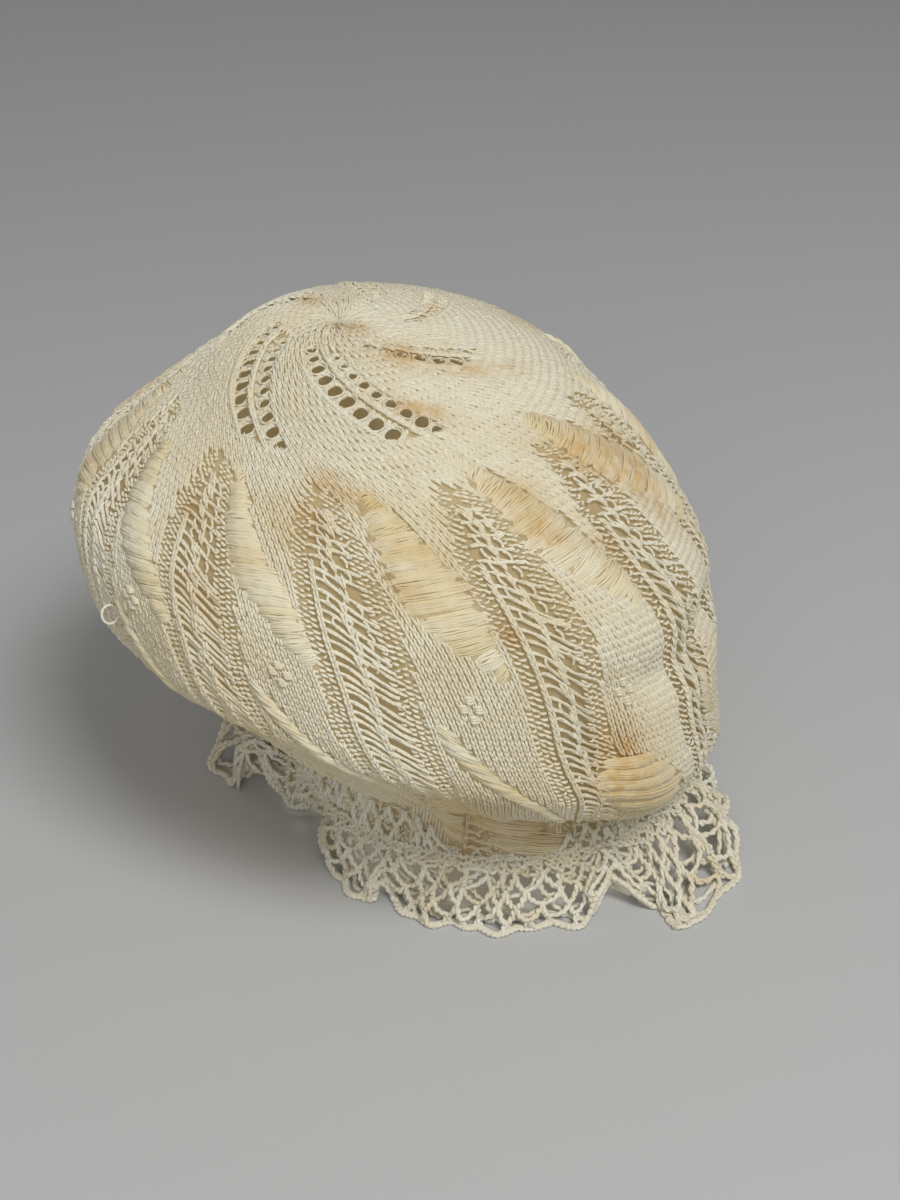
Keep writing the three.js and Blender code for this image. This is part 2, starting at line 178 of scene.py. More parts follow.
# Bands that differ on the photographed side, by band and panel; the panels run from 15 degrees on
FRONT_BANDS = {
    (0, 7): (
        (0.31, -4.4, 0.2), (0.345, -7.2, -0.6), (0.385, -8.2, -0.2), (0.415, -7.4, 1.4),
        (0.45, -5.4, 4.0), (0.49, -2.2, 5.4), (0.53, 1.6, 6.0), (0.56, 3.8, 6.2),
    ),
    (0, 8): (
        (0.28, -1.6, 0.8), (0.294, -4.4, 0.0), (0.32, -6.6, -0.4), (0.347, -8.2, -0.6),
        (0.381, -8.2, 0.4), (0.413, -7.7, 2.4), (0.435, -5.3, 3.6), (0.462, -2.4, 3.9),
        (0.495, -0.6, 4.1), (0.52, 2.2, 4.4),
    ),
    (0, 10): (
        (0.245, 4.4, 7.8), (0.283, -1.2, 7.2), (0.317, -3.6, 8.0), (0.349, -4.7, 8.5),
        (0.374, -3.5, 9.0), (0.394, -1.8, 9.5), (0.416, 1.0, 10.2), (0.433, 3.6, 10.2),
        (0.458, 7.6, 9.6),
    ),
    (0, 11): (
        (0.24, 2.4, 9.0), (0.27, -0.6, 10.8), (0.31, -2.5, 11.6), (0.34, -2.6, 13.6),
        (0.378, 3.0, 15.5), (0.41, 8.0, 16.5), (0.44, 12.5, 17.0),
    ),
    (1, 10): (
        (0.645, -9.0, -3.0), (0.67, -13.5, 1.5), (0.7, -15.0, 4.5), (0.73, -13.5, 6.0),
        (0.76, -9.0, 6.5),
    ),
    (2, 9): (
        (1.02, -17.0, -12.0), (1.06, -19.5, -4.0), (1.1, -20.0, 3.0), (1.14, -16.0, 8.0),
        (1.18, -9.0, 10.0),
    ),
}
# How far the floats of each band climb to the right, in millimetres
FLOAT_CLIMB = (2.4, -3.8, -1.6)
FRONT_CLIMB = {(1, 10): 1.6, (2, 9): -2.4}
# How far each panel's floats sit round from the chart, for the panels at 15, 45 ... 345 degrees
BAND_SHIFT = (3.0, 1.0, -1.0, 0.5, -0.5, 0.0, -1.0, 0.0, 0.0, 0.0, 0.0, 0.0)
# from the panel's middle, course: the four knots of each diamond motif
DIAMOND_KNOTS = ((-2.6, 0.536), (-4.0, 0.549), (-1.6, 0.549), (-3.0, 0.564))
# share across, bow, chance: the uprights that tie the slanting threads of the openwork
TIES = ((0.22, -0.5, 0.8), (0.74, 0.5, 0.9))
# start, end, early: the two halves of each slanting thread, as shares of its way across
THREAD_HALVES = ((-0.06, 0.56, 0.0), (0.44, 1.06, 0.35))
# inward, side, phase: the columns of small bumps at both edges of an openwork panel
EDGE_BUMPS = (
    (0.1, 1, 0.0), (1.3, 1, 0.5), (2.5, 1, 0.05),
    (0.1, -1, 0.1), (1.3, -1, 0.6), (2.5, -1, 0.1), (3.7, -1, 0.6),
)

# wale, course, spread in mm, strength: orange-tan stains of age
TAN_STAINS = (
    (10, 0.11, 4.5, 0.9), (14, 0.16, 4.0, 0.6), (20, 0.2, 3.5, 0.4), (225, 0.068, 3.5, 0.8),
    (333, 0.185, 4.0, 0.8), (22, 0.032, 3.5, 0.7), (281, 0.272, 4.0, 0.75),
    (270, 0.31, 4.5, 0.5), (285, 0.345, 4.5, 0.45), (280, 0.392, 4.5, 0.5),
    (320, 0.3, 3.5, 0.5), (316, 0.34, 3.5, 0.95), (316, 0.362, 3.0, 0.7), (325, 0.392, 4.5, 0.55),
    (347, 0.315, 6.0, 0.95), (352, 0.36, 6.5, 0.9), (350, 0.41, 5.0, 0.6),
    (308, 0.64, 6.5, 0.85), (304, 0.69, 6.0, 0.95), (294, 0.452, 3.0, 0.7), (292, 0.39, 2.0, 0.6),
    (196, 0.45, 6.0, 0.6), (265, 1.07, 7.0, 0.5), (284, 1.1, 8.0, 0.4), (238, 0.36, 3.0, 0.5),
    (240, 0.47, 5.0, 0.35), (140, 0.36, 6.0, 0.8), (110, 0.42, 5.0, 0.5), (76, 0.34, 6.0, 0.8),
    (48, 0.45, 7.0, 0.6), (18, 0.38, 6.0, 0.5), (60, 0.7, 8.0, 0.6), (128, 0.66, 7.0, 0.5),
    (170, 0.4, 5.0, 0.5), (90, 0.12, 4.0, 0.5), (150, 0.2, 4.0, 0.4), (20, 0.95, 8.0, 0.4),
)
# wale, course, spread in mm, strength: softer yellow patches; the broad strong ones low on the front,
# from wale 222 to 310 and course 0.72 to 0.86, are painted shade where the lower front turns down
YELLOW_STAINS_AND_SHADE = (
    (287, 0.29, 3.5, 0.9), (290, 0.35, 5.0, 0.7), (318, 0.3, 5.0, 0.6), (262, 0.33, 6.0, 0.6),
    (305, 0.42, 7.0, 0.5), (300, 0.31, 6.0, 0.5), (344, 0.28, 6.0, 0.6), (0, 0.33, 7.0, 0.6),
    (250, 0.55, 8.0, 0.4), (225, 0.6, 9.0, 0.4), (272, 0.82, 16.0, 0.9), (310, 0.75, 12.0, 0.6),
    (243, 0.76, 14.0, 0.8), (222, 0.72, 12.0, 0.6), (300, 0.86, 12.0, 0.7),
    (340, 0.6, 12.0, 0.4), (200, 0.35, 7.0, 0.4), (90, 0.5, 12.0, 0.5), (40, 0.6, 12.0, 0.5),
    (140, 0.8, 14.0, 0.5), (60, 0.25, 7.0, 0.4), (120, 0.3, 7.0, 0.4), (180, 0.7, 12.0, 0.4),
)


def unit(vectors: np.ndarray) -> np.ndarray:
    """Scale vectors along the last axis to length one."""
    return vectors / np.maximum(np.linalg.norm(vectors, axis=-1, keepdims=True), 1e-12)


def smooth(value: Places, start: float, end: float) -> np.ndarray:
    """Ease from 0 at start to 1 at end, with level ends."""
    t = np.clip((np.asarray(value, dtype=float) - start) / (end - start), 0.0, 1.0)
    return t * t * (3 - 2 * t)


def pucker(course: Places) -> np.ndarray:
    """How deep the gathered centre of the crown is drawn in at a course, in millimetres."""
    return PUCKER_DEPTH * np.exp(-((np.asarray(course) / PUCKER_SPREAD) ** 2))


def angle_between(a: Places, b: Places) -> np.ndarray:
    """Signed difference of two angles in degrees, from -180 to 180."""
    return np.mod(np.asarray(a) - b + 180.0, 360.0) - 180.0


class Curve:
    """Smooth curve through one column of a chart, flat at its peaks so that it never overshoots."""

    def __init__(self, rows: Sequence[Sequence[float]], column: int, period: float = 0.0) -> None:
        """Read one column of a chart.

        Args:
            rows: The chart, with the position first in each row.
            column: The column to read.
            period: The length after which the curve closes on itself, or 0.
        """
        keys = np.array([row[0] for row in rows], dtype=float)
        values = np.array([row[column] for row in rows], dtype=float)
        if period > 0:
            keys = np.concatenate([keys[-2:] - period, keys, keys[:2] + period])
            values = np.concatenate([values[-2:], values, values[:2]])
        secant = np.diff(values) / np.diff(keys)
        slope = np.empty_like(values)
        slope[0], slope[-1] = secant[0], secant[-1]
        left, right = secant[:-1], secant[1:]
        both = np.where(left * right > 0, left + right, 1.0)
        slope[1:-1] = np.where(left * right > 0, 2 * left * right / both, 0.0)
        self.keys, self.values, self.slope = keys, values, slope

    def __call__(self, at: Places) -> np.ndarray:
        """Read the curve.

        Args:
            at: One or many positions.

        Returns:
            The value at each position.
        """
        at = np.asarray(at, dtype=float)
        i = np.clip(np.searchsorted(self.keys, at, side="right") - 1, 0, len(self.keys) - 2)
        width = self.keys[i + 1] - self.keys[i]
        t = (at - self.keys[i]) / width
        s = 1 - t
        return (
            (1 + 2 * t) * s * s * self.values[i]
            + t * s * s * width * self.slope[i]
            + t * t * (3 - 2 * t) * self.values[i + 1]
            - t * t * s * width * self.slope[i + 1]
        )


class LookupSurface:
    """A surface held as a fine grid of points and outward normals, read by interpolation."""

    def __init__(self, points: np.ndarray, start: float, end: float) -> None:
        """Keep the grid.

        Args:
            points: Grid of shape (round, down, 3); it closes on itself round.
            start: The value of the second coordinate at the grid's first column.
            end: Its value at the last column.
        """
        self.points = points
        self.start, self.end = start, end
        self.normals = self.grid_normals(points)

    @staticmethod
    def grid_normals(points: np.ndarray) -> np.ndarray:
        """Work out the outward normals of a grid; a pole takes its neighbour's.

        Args:
            points: Grid of shape (round, down, 3), closed round.

        Returns:
            A unit normal for each point.
        """
        along = np.roll(points, -1, axis=0) - np.roll(points, 1, axis=0)
        down = np.gradient(points, axis=1)
        normals = unit(np.cross(down, along))
        pole = np.linalg.norm(along, axis=-1).max(axis=0) < 1e-7
        if pole[0]:
            normals[:, 0] = unit(normals[:, 1].mean(axis=0))
        return normals

    def read(self, angle: np.ndarray, down: np.ndarray) -> Pair:
        """Read the surface between its grid points.

        Args:
            angle: Degrees round the surface.
            down: The second coordinate.

        Returns:
            The points in metres and the unit normals there.
        """
        rounds, downs = self.points.shape[:2]
        fi = np.mod(angle, 360.0) / 360.0 * rounds
        fj = np.clip((down - self.start) / (self.end - self.start), 0.0, 1.0) * (downs - 1)
        i = np.floor(fi).astype(int) % rounds
        j = np.minimum(np.floor(fj).astype(int), downs - 2)
        a = (fi - np.floor(fi))[..., None]
        b = (fj - j)[..., None]
        k = (i + 1) % rounds

        def mix(grid: np.ndarray) -> np.ndarray:
            """Blend the four grid corners round each position.

            Args:
                grid: The points or the normals.

            Returns:
                The blended values.
            """
            near = grid[i, j] * (1 - b) + grid[i, j + 1] * b
            far = grid[k, j] * (1 - b) + grid[k, j + 1] * b
            return near * (1 - a) + far * a

        return mix(self.points), unit(mix(self.normals))


class KnitForm:
    """The slumped form of the knitting, and where each wale and course of it lies."""

    ROUND = 720
    DOWN = 481
    GIRTH_STEP = 5.0
    # The courses over which the rows draw closer below the crown
    CROWN_FADE = (0.3, 0.46)

    def __init__(self) -> None:
        """Work out the folded form and the length and girth of its courses."""
        ring = [Curve(SECTIONS, column) for column in range(1, 8)]
        self.turn = Curve(DRAPE, 1)
        self.lean = Curve(DRAPE, 2)
        angle = np.arange(self.ROUND)[:, None] * 360.0 / self.ROUND
        level = np.linspace(0.0, SEAM_LEVEL, self.DOWN)[None, :]
        x, y, z, rx, ry, pitch, roll = (curve(level) for curve in ring)
        pitch, roll = np.radians(pitch), np.radians(roll)
        across = rx * np.cos(np.radians(angle))
        along = ry * np.sin(np.radians(angle))
        lift = along * np.sin(pitch)
        plain = np.stack(
            [
                x + across * np.cos(roll) + lift * np.sin(roll),
                y + along * np.cos(pitch),
                z - across * np.sin(roll) + lift * np.cos(roll),
            ],
            axis=-1,
        )
        depth = np.zeros((self.ROUND, self.DOWN))
        for fold_angle, fold_level, spread_angle, spread_level, fold_depth in FOLDS:
            round_bell = np.exp(-((angle_between(angle, fold_angle) / spread_angle) ** 2))
            depth += fold_depth * round_bell * np.exp(-(((level - fold_level) / spread_level) ** 2))
        folded = plain + LookupSurface.grid_normals(plain) * depth[..., None]
        self.surface = LookupSurface(folded * MM + CHART_SHIFT, 0.0, SEAM_LEVEL)
        self.courses = np.linspace(0.0, SEAM_LEVEL, self.DOWN)
        wales = np.arange(0, 360, self.GIRTH_STEP)[:, None]
        lines, _ = self.place(wales, self.courses[None, :], 0.0)
        straight, _ = self.surface.read(wales, self.courses[None, :] + 0 * wales)
        drops = np.linalg.norm(np.diff(straight, axis=1), axis=-1).mean(axis=0)
        self.lengths = np.concatenate([[0.0], np.cumsum(drops)]) / MM
        girth = np.linalg.norm(lines - np.roll(lines, 1, axis=0), axis=-1).sum(axis=0)
        self.radii = girth / (2 * math.pi) / MM

    def place(self, wale: np.ndarray, course: np.ndarray, height: Places) -> Pair:
        """Put the knitting's own coordinates on the form.

        Args:
            wale: Degrees round the knitting.
            course: From the crown, 0, to the seam.
            height: Millimetres above the middle of the fabric.

        Returns:
            The points in metres and the unit normals there.
        """
        wale, course = np.broadcast_arrays(np.asarray(wale, float), np.asarray(course, float))
        angle = wale + self.turn(course)
        level = course + self.lean(course) * np.cos(np.radians(angle - LEAN_TO))
        points, normals = self.surface.read(angle, level)
        height = np.broadcast_to(np.asarray(height, float), course.shape)
        return points + normals * (height * MM)[..., None], normals

    def course_at(self, length: Places) -> np.ndarray:
        """The course that lies a length in millimetres from the crown."""
        return np.interp(length, self.lengths, self.courses)

    def length_at(self, course: Places) -> np.ndarray:
        """Millimetres from the crown to a course."""
        return np.interp(course, self.courses, self.lengths)

    def plain_rows(self, start: float, end: float) -> np.ndarray:
        """Work out the courses of the plain rows, which lie closer below the crown.

        Args:
            start: The first row's course.
            end: The course that the rows stay above.

        Returns:
            The course of each row.
        """
        courses = []
        course = start
        while course < end:
            courses.append(course)
            course = float(self.course_at(self.length_at(course) + self.row_pitch(course)))
        return np.array(courses)

    def row_pitch(self, course: Places) -> np.ndarray:
        """Distance from row to row in millimetres."""
        return CROWN_ROW_PITCH + (ROW_PITCH - CROWN_ROW_PITCH) * smooth(course, *self.CROWN_FADE)

    def degree(self, course: Places) -> np.ndarray:
        """Millimetres that one degree round the knitting spans at a course."""
        return np.interp(course, self.courses, self.radii) * math.pi / 180.0

    def rows(self, start: float, end: float, pitch: float = ROW_PITCH) -> np.ndarray:
        """Courses of evenly spaced rows between two courses."""
        return self.course_at(np.arange(self.length_at(start), self.length_at(end), pitch))


class LaceForm:
    """The ruffled form of the lace: round the seam, and from the seam to its outer edge."""

    ROUND = 1440
    DOWN = 41
    TOP = -0.4
    TOP_LEVELS = 0.3
    TOP_STATIONS = 17
    CLEAR = 1.4
    SEAM_SLOPE = 0.02

    def __init__(self, knit: KnitForm) -> None:
        """Lay the lace from the knitting's seam to the charted edge.

        Args:
            knit: The form whose seam carries the lace.
        """
        turn, radius, height, belly = (Curve(FRILL_EDGE, column, 360.0) for column in range(1, 5))
        at = np.arange(self.ROUND) * 360.0 / self.ROUND
        seam, _ = knit.surface.read(at, np.full(self.ROUND, SEAM_LEVEL))
        above, _ = knit.surface.read(at, np.full(self.ROUND, SEAM_LEVEL - self.SEAM_SLOPE))
        top = seam + unit(seam - above) * SEAM_GAP * MM
        swept = np.radians(at + turn(at))
        out = np.stack([np.cos(swept), np.sin(swept), np.zeros_like(swept)], axis=-1)
        rim = out * radius(at)[:, None] * MM + CHART_SHIFT
        rim[:, 2] = height(at) * MM
        lifted = out.copy()
        lifted[:, 2] = BELLY_LIFT
        middle = (top + rim) / 2 + lifted * belly(at)[:, None] * MM
        t = np.linspace(0.0, 1.0, self.DOWN)[None, :, None]
        lace = top[:, None] * (1 - t) ** 2 + 2 * middle[:, None] * t * (1 - t) + rim[:, None] * t**2
        shares = np.linspace(self.TOP, 0.0, self.TOP_STATIONS)[:-1]
        levels = SEAM_LEVEL + self.TOP_LEVELS * shares
        raised, outward = knit.surface.read(at[:, None] + 0 * shares, levels)
        lift = self.CLEAR * MM * smooth(-shares, 0.0, 0.08)
        self.surface = LookupSurface(
            np.concatenate([raised + outward * lift[None, :, None], lace], axis=1), self.TOP, 1.0
        )

    def place(self, at: np.ndarray, share: np.ndarray, height: Places, floor: float = 0.0) -> Pair:
        """Points in metres and normals at angles round the seam and shares of the lace's width.

        Args:
            at: Degrees round the seam.
            share: From the seam, 0, to the edge, 1.
            height: Millimetres outward from the middle of the lace.
            floor: The lowest that a point may lie, in metres.

        Returns:
            The points and their normals.
        """
        at, share = np.broadcast_arrays(np.asarray(at, float), np.asarray(share, float))
        points, normals = self.surface.read(at, share)
        height = np.broadcast_to(np.asarray(height, float), share.shape)
        points = points + normals * (height * MM)[..., None]
        points[..., 2] = np.maximum(points[..., 2], floor)
        return points, normals


class StainChart:
    """Stains of age on the knitting, read at any wale and course."""

    def __init__(self, form: KnitForm) -> None:
        """Keep the form that turns distances on the chart to millimetres."""
        self.form = form

    def read(self, wale: np.ndarray, course: np.ndarray, chart: Sequence[Sequence[float]]) -> np.ndarray:
        """Read one chart's stains.

        Args:
            wale: Degrees round the knitting.
            course: From the crown, 0, to the seam.
            chart: Rows of wale, course, spread in millimetres and strength.

        Returns:
            Their strength, from 0 to 1.
        """
        wale, course = np.broadcast_arrays(np.asarray(wale, float), np.asarray(course, float))
        degree = self.form.degree(course)
        length = self.form.length_at(course)
        clean = np.ones(course.shape)
        for spot_wale, spot_course, spread, strength in chart:
            round_mm = angle_between(wale, spot_wale) * degree
            down_mm = length - self.form.length_at(spot_course)
            clean *= 1 - strength * np.exp(-(round_mm**2 + down_mm**2) / spread**2)
        return 1 - clean


class Section(Enum):
    """Cross-sections of a thread: the angles of its corners and whether it closes round."""

    LOBE = ((-20.0, 50.0, 130.0, 200.0), False)
    ROUND5 = (tuple(72.0 * i for i in range(5)), True)
    ROUND6 = (tuple(60.0 * i for i in range(6)), True)
    ROUND8 = (tuple(45.0 * i for i in range(8)), True)

    @property
    def corners(self) -> np.ndarray:
        """Corner angles in radians."""
        return np.radians(self.value[0])

    @property
    def closed(self) -> bool:
        """Whether the last corner joins the first."""
        return self.value[1]


class Skein:
    """Many threads gathered into one mesh, with coordinates along each thread for its twist."""

    def __init__(self, name: str) -> None:
        """Start an empty skein.

        Args:
            name: The name of the piece that it becomes.
        """
        self.name = name
        self.vertices: list[np.ndarray] = []
        self.corners: list[np.ndarray] = []
        self.sizes: list[np.ndarray] = []
        self.coordinates: list[np.ndarray] = []
        self.marks: dict[str, list[np.ndarray]] = {"stain": [], "yellow": [], "tint": []}
        self.count = 0

    def add(
        self, vertices: np.ndarray, faces: np.ndarray,
        coordinates: np.ndarray, marks: Mapping[str, Places],
    ) -> None:
        """Add a finished piece of mesh.

        Args:
            vertices: Points in metres, of shape (n, 3).
            faces: Corners of each face, of shape (m, 3) or (m, 4).
            coordinates: Place of each corner along and round its thread.
            marks: Stain, yellow and tint of each vertex.
        """
        self.corners.append((faces + self.count).ravel())
        self.sizes.append(np.full(len(faces), faces.shape[1]))
        self.coordinates.append(coordinates.reshape(-1, 2))
        self.mark(vertices, marks)

    def mark(self, vertices: np.ndarray, marks: Mapping[str, Places]) -> None:
        """Store vertices with their marks.

        Args:
            vertices: Points in metres, of shape (n, 3).
            marks: Stain, yellow and tint, for each vertex or for all of them.
        """
        if not len(vertices):
            return
        self.vertices.append(vertices)
        self.count += len(vertices)
        for key, store in self.marks.items():
            value = np.asarray(marks.get(key, 0.0), dtype=float)
            store.append(np.broadcast_to(value, (len(vertices),)).copy())

    def lay(
        self, points: np.ndarray, normals: np.ndarray, across: Places, proud: Places,
        section: Section, pointed: bool = False, **marks: Places,
    ) -> None:
        """Lay threads along their middle lines.

        Args:
            points: Middle lines in metres, of shape (threads, stations, 3).
            normals: The fabric's outward normals at the stations.
            across: Half width in millimetres at each station.
            proud: Half thickness in millimetres at each station.
            section: The thread's cross-section.
            pointed: Whether both ends close to a point.
            marks: Stain, yellow and tint, per station or per thread.
        """
        threads, stations = points.shape[:2]
        across = np.broadcast_to(np.asarray(across, float), (threads, stations)) * MM
        proud = np.broadcast_to(np.asarray(proud, float), (threads, stations)) * MM
        tangent = unit(np.gradient(points, axis=1))
        side = unit(np.cross(tangent, normals))
        up = np.cross(side, tangent)
        angles = section.corners
        sides = len(angles)
        steps = np.linalg.norm(np.diff(points, axis=1), axis=-1)
        run = np.concatenate([np.zeros((threads, 1)), np.cumsum(steps, axis=1)], 1) / MM
        ring = (
            points[:, :, None]
            + side[:, :, None] * (across[:, :, None] * np.cos(angles))[..., None]
            + up[:, :, None] * (proud[:, :, None] * np.sin(angles))[..., None]
        )
        spread = {
            key: np.broadcast_to(
                np.asarray(value, float).reshape(np.shape(value) + (1,) * (2 - np.ndim(value))),
                (threads, stations),
            )
            for key, value in marks.items()
        }
        first = 1 if pointed else 0
        last = stations - 1 if pointed else stations
        body = ring[:, first:last]
        rings = last - first
        base = np.arange(threads)[:, None, None] * rings * sides
        index = base + np.arange(rings)[None, :, None] * sides + np.arange(sides)[None, None, :]
        cells = sides if section.closed else sides - 1
        s0 = np.arange(cells)
        s1 = (s0 + 1) % sides
        j0 = np.arange(rings - 1)[:, None]
        quads = np.stack(
            [index[:, j0, s0], index[:, j0 + 1, s0], index[:, j0 + 1, s1], index[:, j0, s1]], axis=-1
        )
        turn = section.corners / (2 * math.pi)
        low = np.broadcast_to(turn[s0], (threads, rings - 1, cells))
        high = low + (turn[1] - turn[0])
        start = np.broadcast_to(run[:, first : last - 1, None], low.shape)
        end = np.broadcast_to(run[:, first + 1 : last, None], low.shape)
        corners = ((low, start), (low, end), (high, end), (high, start))
        mapped = np.stack([np.stack(corner, axis=-1) for corner in corners], axis=-2)
        body_marks = {
            key: np.repeat(value[:, first:last].reshape(-1), sides) for key, value in spread.items()
        }
        offset = self.count
        if rings > 1:
            self.corners.append((quads.reshape(-1, 4) + offset).ravel())
            self.sizes.append(np.full(quads.size // 4, 4))
            self.coordinates.append(mapped.reshape(-1, 2))
        self.mark(body.reshape(-1, 3), body_marks)
        if not pointed:
            return
        for tip, near, forward in ((0, 0, True), (stations - 1, rings - 1, False)):
            tips = self.count + np.arange(threads)
            ring_index = offset + index[:, near]
            a, b = ring_index[:, s0], ring_index[:, s1]
            apex = np.broadcast_to(tips[:, None], a.shape)
            faces = np.stack([apex, a, b] if forward else [a, apex, b], axis=-1)
            tip_run = np.broadcast_to(run[:, tip, None], a.shape)
            near_run = np.broadcast_to(run[:, 1 if forward else stations - 2, None], a.shape)
            u0 = np.broadcast_to(turn[s0], a.shape)
            u1 = u0 + (turn[1] - turn[0])
            at_tip = np.stack([(u0 + u1) / 2, tip_run], axis=-1)
            at_a = np.stack([u0, near_run], axis=-1)
            at_b = np.stack([u1, near_run], axis=-1)
            order = [at_tip, at_a, at_b] if forward else [at_a, at_tip, at_b]
            self.corners.append(faces.reshape(-1))
            self.sizes.append(np.full(faces.size // 3, 3))
            self.coordinates.append(np.stack(order, axis=-2).reshape(-1, 2))
            self.mark(points[:, tip], {key: value[:, tip] for key, value in spread.items()})

    def weave(self) -> bpy.types.Object:
        """Make the mesh and link its object to the scene.

        Returns:
            The new object.
        """
        vertices = np.concatenate(self.vertices)
        corners = np.concatenate(self.corners).astype(np.int32)
        sizes = np.concatenate(self.sizes).astype(np.int32)
        starts = np.concatenate([[0], np.cumsum(sizes)[:-1]]).astype(np.int32)
        mesh = bpy.data.meshes.new(self.name)
        mesh.vertices.add(len(vertices))
        mesh.vertices.foreach_set("co", vertices.astype(np.float32).ravel())
        mesh.loops.add(len(corners))
        mesh.loops.foreach_set("vertex_index", corners)
        mesh.polygons.add(len(sizes))
        mesh.polygons.foreach_set("loop_start", starts)
        mesh.polygons.foreach_set("use_smooth", np.ones(len(sizes), dtype=bool))
        layer = mesh.uv_layers.new(name="thread")
        layer.data.foreach_set("uv", np.concatenate(self.coordinates).astype(np.float32).ravel())
        for key, store in self.marks.items():
            mark = mesh.attributes.new(key, "FLOAT", "POINT")
            mark.data.foreach_set("value", np.concatenate(store).astype(np.float32))
        mesh.update(calc_edges=True)
        mesh.validate()
        piece = bpy.data.objects.new(self.name, mesh)
        bpy.context.scene.collection.objects.link(piece)
        log.info("%s: %d triangles", self.name, int((sizes - 2).sum()))
        return piece


class Signal:
    """A shader socket that takes part in arithmetic; each operation adds its Math node."""

    def __init__(self, graph: "Graph", socket: bpy.types.NodeSocket) -> None:
        """Wrap an output socket of a graph."""
        self.graph = graph
        self.socket = socket

    def math(self, operation: str, *others: "Signal | float", flip: bool = False) -> "Signal":
        """Apply a Math node.

        Args:
            operation: The node's operation.
            others: Its further values.
            flip: Whether the values go in the other way round.

        Returns:
            The node's result.
        """
        values = [self, *others]
        if flip:
            values.reverse()
        inputs = dict(enumerate(values))
        return self.graph.out("ShaderNodeMath", {"operation": operation}, inputs)

    def __add__(self, other: "Signal | float") -> "Signal":
        """Add."""
        return self.math("ADD", other)

    __radd__ = __add__

    def __sub__(self, other: "Signal | float") -> "Signal":
        """Subtract."""
        return self.math("SUBTRACT", other)

    def __rsub__(self, other: float) -> "Signal":
        """Subtract from a number."""
        return self.math("SUBTRACT", other, flip=True)

    def __mul__(self, other: "Signal | float") -> "Signal":
        """Multiply."""
        return self.math("MULTIPLY", other)

    __rmul__ = __mul__

    def clamp(self) -> "Signal":
        """Keep between 0 and 1."""
        return self.math("MAXIMUM", 0.0).math("MINIMUM", 1.0)

    def ease(self, start: float, end: float) -> "Signal":
        """Ease from 0 at start to 1 at end."""
        inputs = {"Value": self, "From Min": start, "From Max": end}
        return self.graph.out("ShaderNodeMapRange", {"interpolation_type": "SMOOTHSTEP"}, inputs)


class Graph:
    """The node tree of one material."""

    def __init__(self, name: str) -> None:
        """Start a material with an empty tree.

        Args:
            name: The material's name.
        """
        self.material = bpy.data.materials.new(name)
        self.material.use_nodes = True
        self.tree = self.material.node_tree
        self.tree.nodes.clear()

    def node(
        self, kind: str,
        settings: Mapping[str, Any] | None = None, inputs: Mapping[Any, Any] | None = None,
    ) -> bpy.types.Node:
        """Add a node.

        Args:
            kind: The node's type.
            settings: Its properties, set first.
            inputs: Values or signals for its sockets, by name or number.

        Returns:
            The new node.
        """
        node = self.tree.nodes.new(kind)
        for key, value in (settings or {}).items():
            setattr(node, key, value)
        for key, value in (inputs or {}).items():
            if isinstance(value, Signal):
                self.tree.links.new(value.socket, node.inputs[key])
            elif isinstance(value, tuple) and node.inputs[key].type == "RGBA" and len(value) == 3:
                node.inputs[key].default_value = (*value, 1.0)
            else:
                node.inputs[key].default_value = value
        return node

    def out(
        self, kind: str,
        settings: Mapping[str, Any] | None = None, inputs: Mapping[Any, Any] | None = None,
        socket: str | int = 0,
    ) -> Signal:
        """Add a node and read one of its outputs as a signal."""
        return Signal(self, self.node(kind, settings, inputs).outputs[socket])

    def mix(self, amount: Signal | float, first: Any, second: Any) -> Signal:
        """Mix two colours by an amount."""
        inputs = {0: amount, 6: first, 7: second}
        return self.out("ShaderNodeMix", {"data_type": "RGBA"}, inputs, socket=2)

    def mark(self, name: str) -> Signal:
        """Read one of the marks that a skein carries."""
        return self.out("ShaderNodeAttribute", {"attribute_name": name}, socket="Fac")

    def noise(self, scale: float, detail: float = 2.0, roughness: float = 0.5) -> Signal:
        """Add noise in the object's own coordinates.

        Args:
            scale: Its scale per metre.
            detail: How many finer layers it has.
            roughness: How strong the finer layers are.

        Returns:
            The noise, from 0 to 1.
        """
        place = self.out("ShaderNodeTexCoord", socket="Object")
        inputs = {"Vector": place, "Scale": scale, "Detail": detail, "Roughness": roughness}
        return self.out("ShaderNodeTexNoise", {}, inputs, socket="Fac")

    def relief(self, height: Signal, strength: float, distance: float) -> Signal:
        """Turn a height into the normal of a bump."""
        inputs = {"Height": height, "Strength": strength, "Distance": distance}
        return self.out("ShaderNodeBump", {}, inputs, socket="Normal")

    def surface(self, inputs: Mapping[str, Any]) -> Signal:
        """Add the main surface shader."""
        return self.out("ShaderNodeBsdfPrincipled", {}, inputs)

    def finish(self, shader: Signal, colour: Signal, through: float) -> None:
        """Join a surface to the output, with the light that thin cotton lets through.

        Args:
            shader: The surface.
            colour: The colour of the light that comes through.
            through: The share of the light that comes through.
        """
        veil = self.out("ShaderNodeBsdfTranslucent", {}, {"Color": colour})
        both = self.out("ShaderNodeMixShader", {}, {0: through, 1: shader, 2: veil})
        self.node("ShaderNodeOutputMaterial", {}, {"Surface": both})


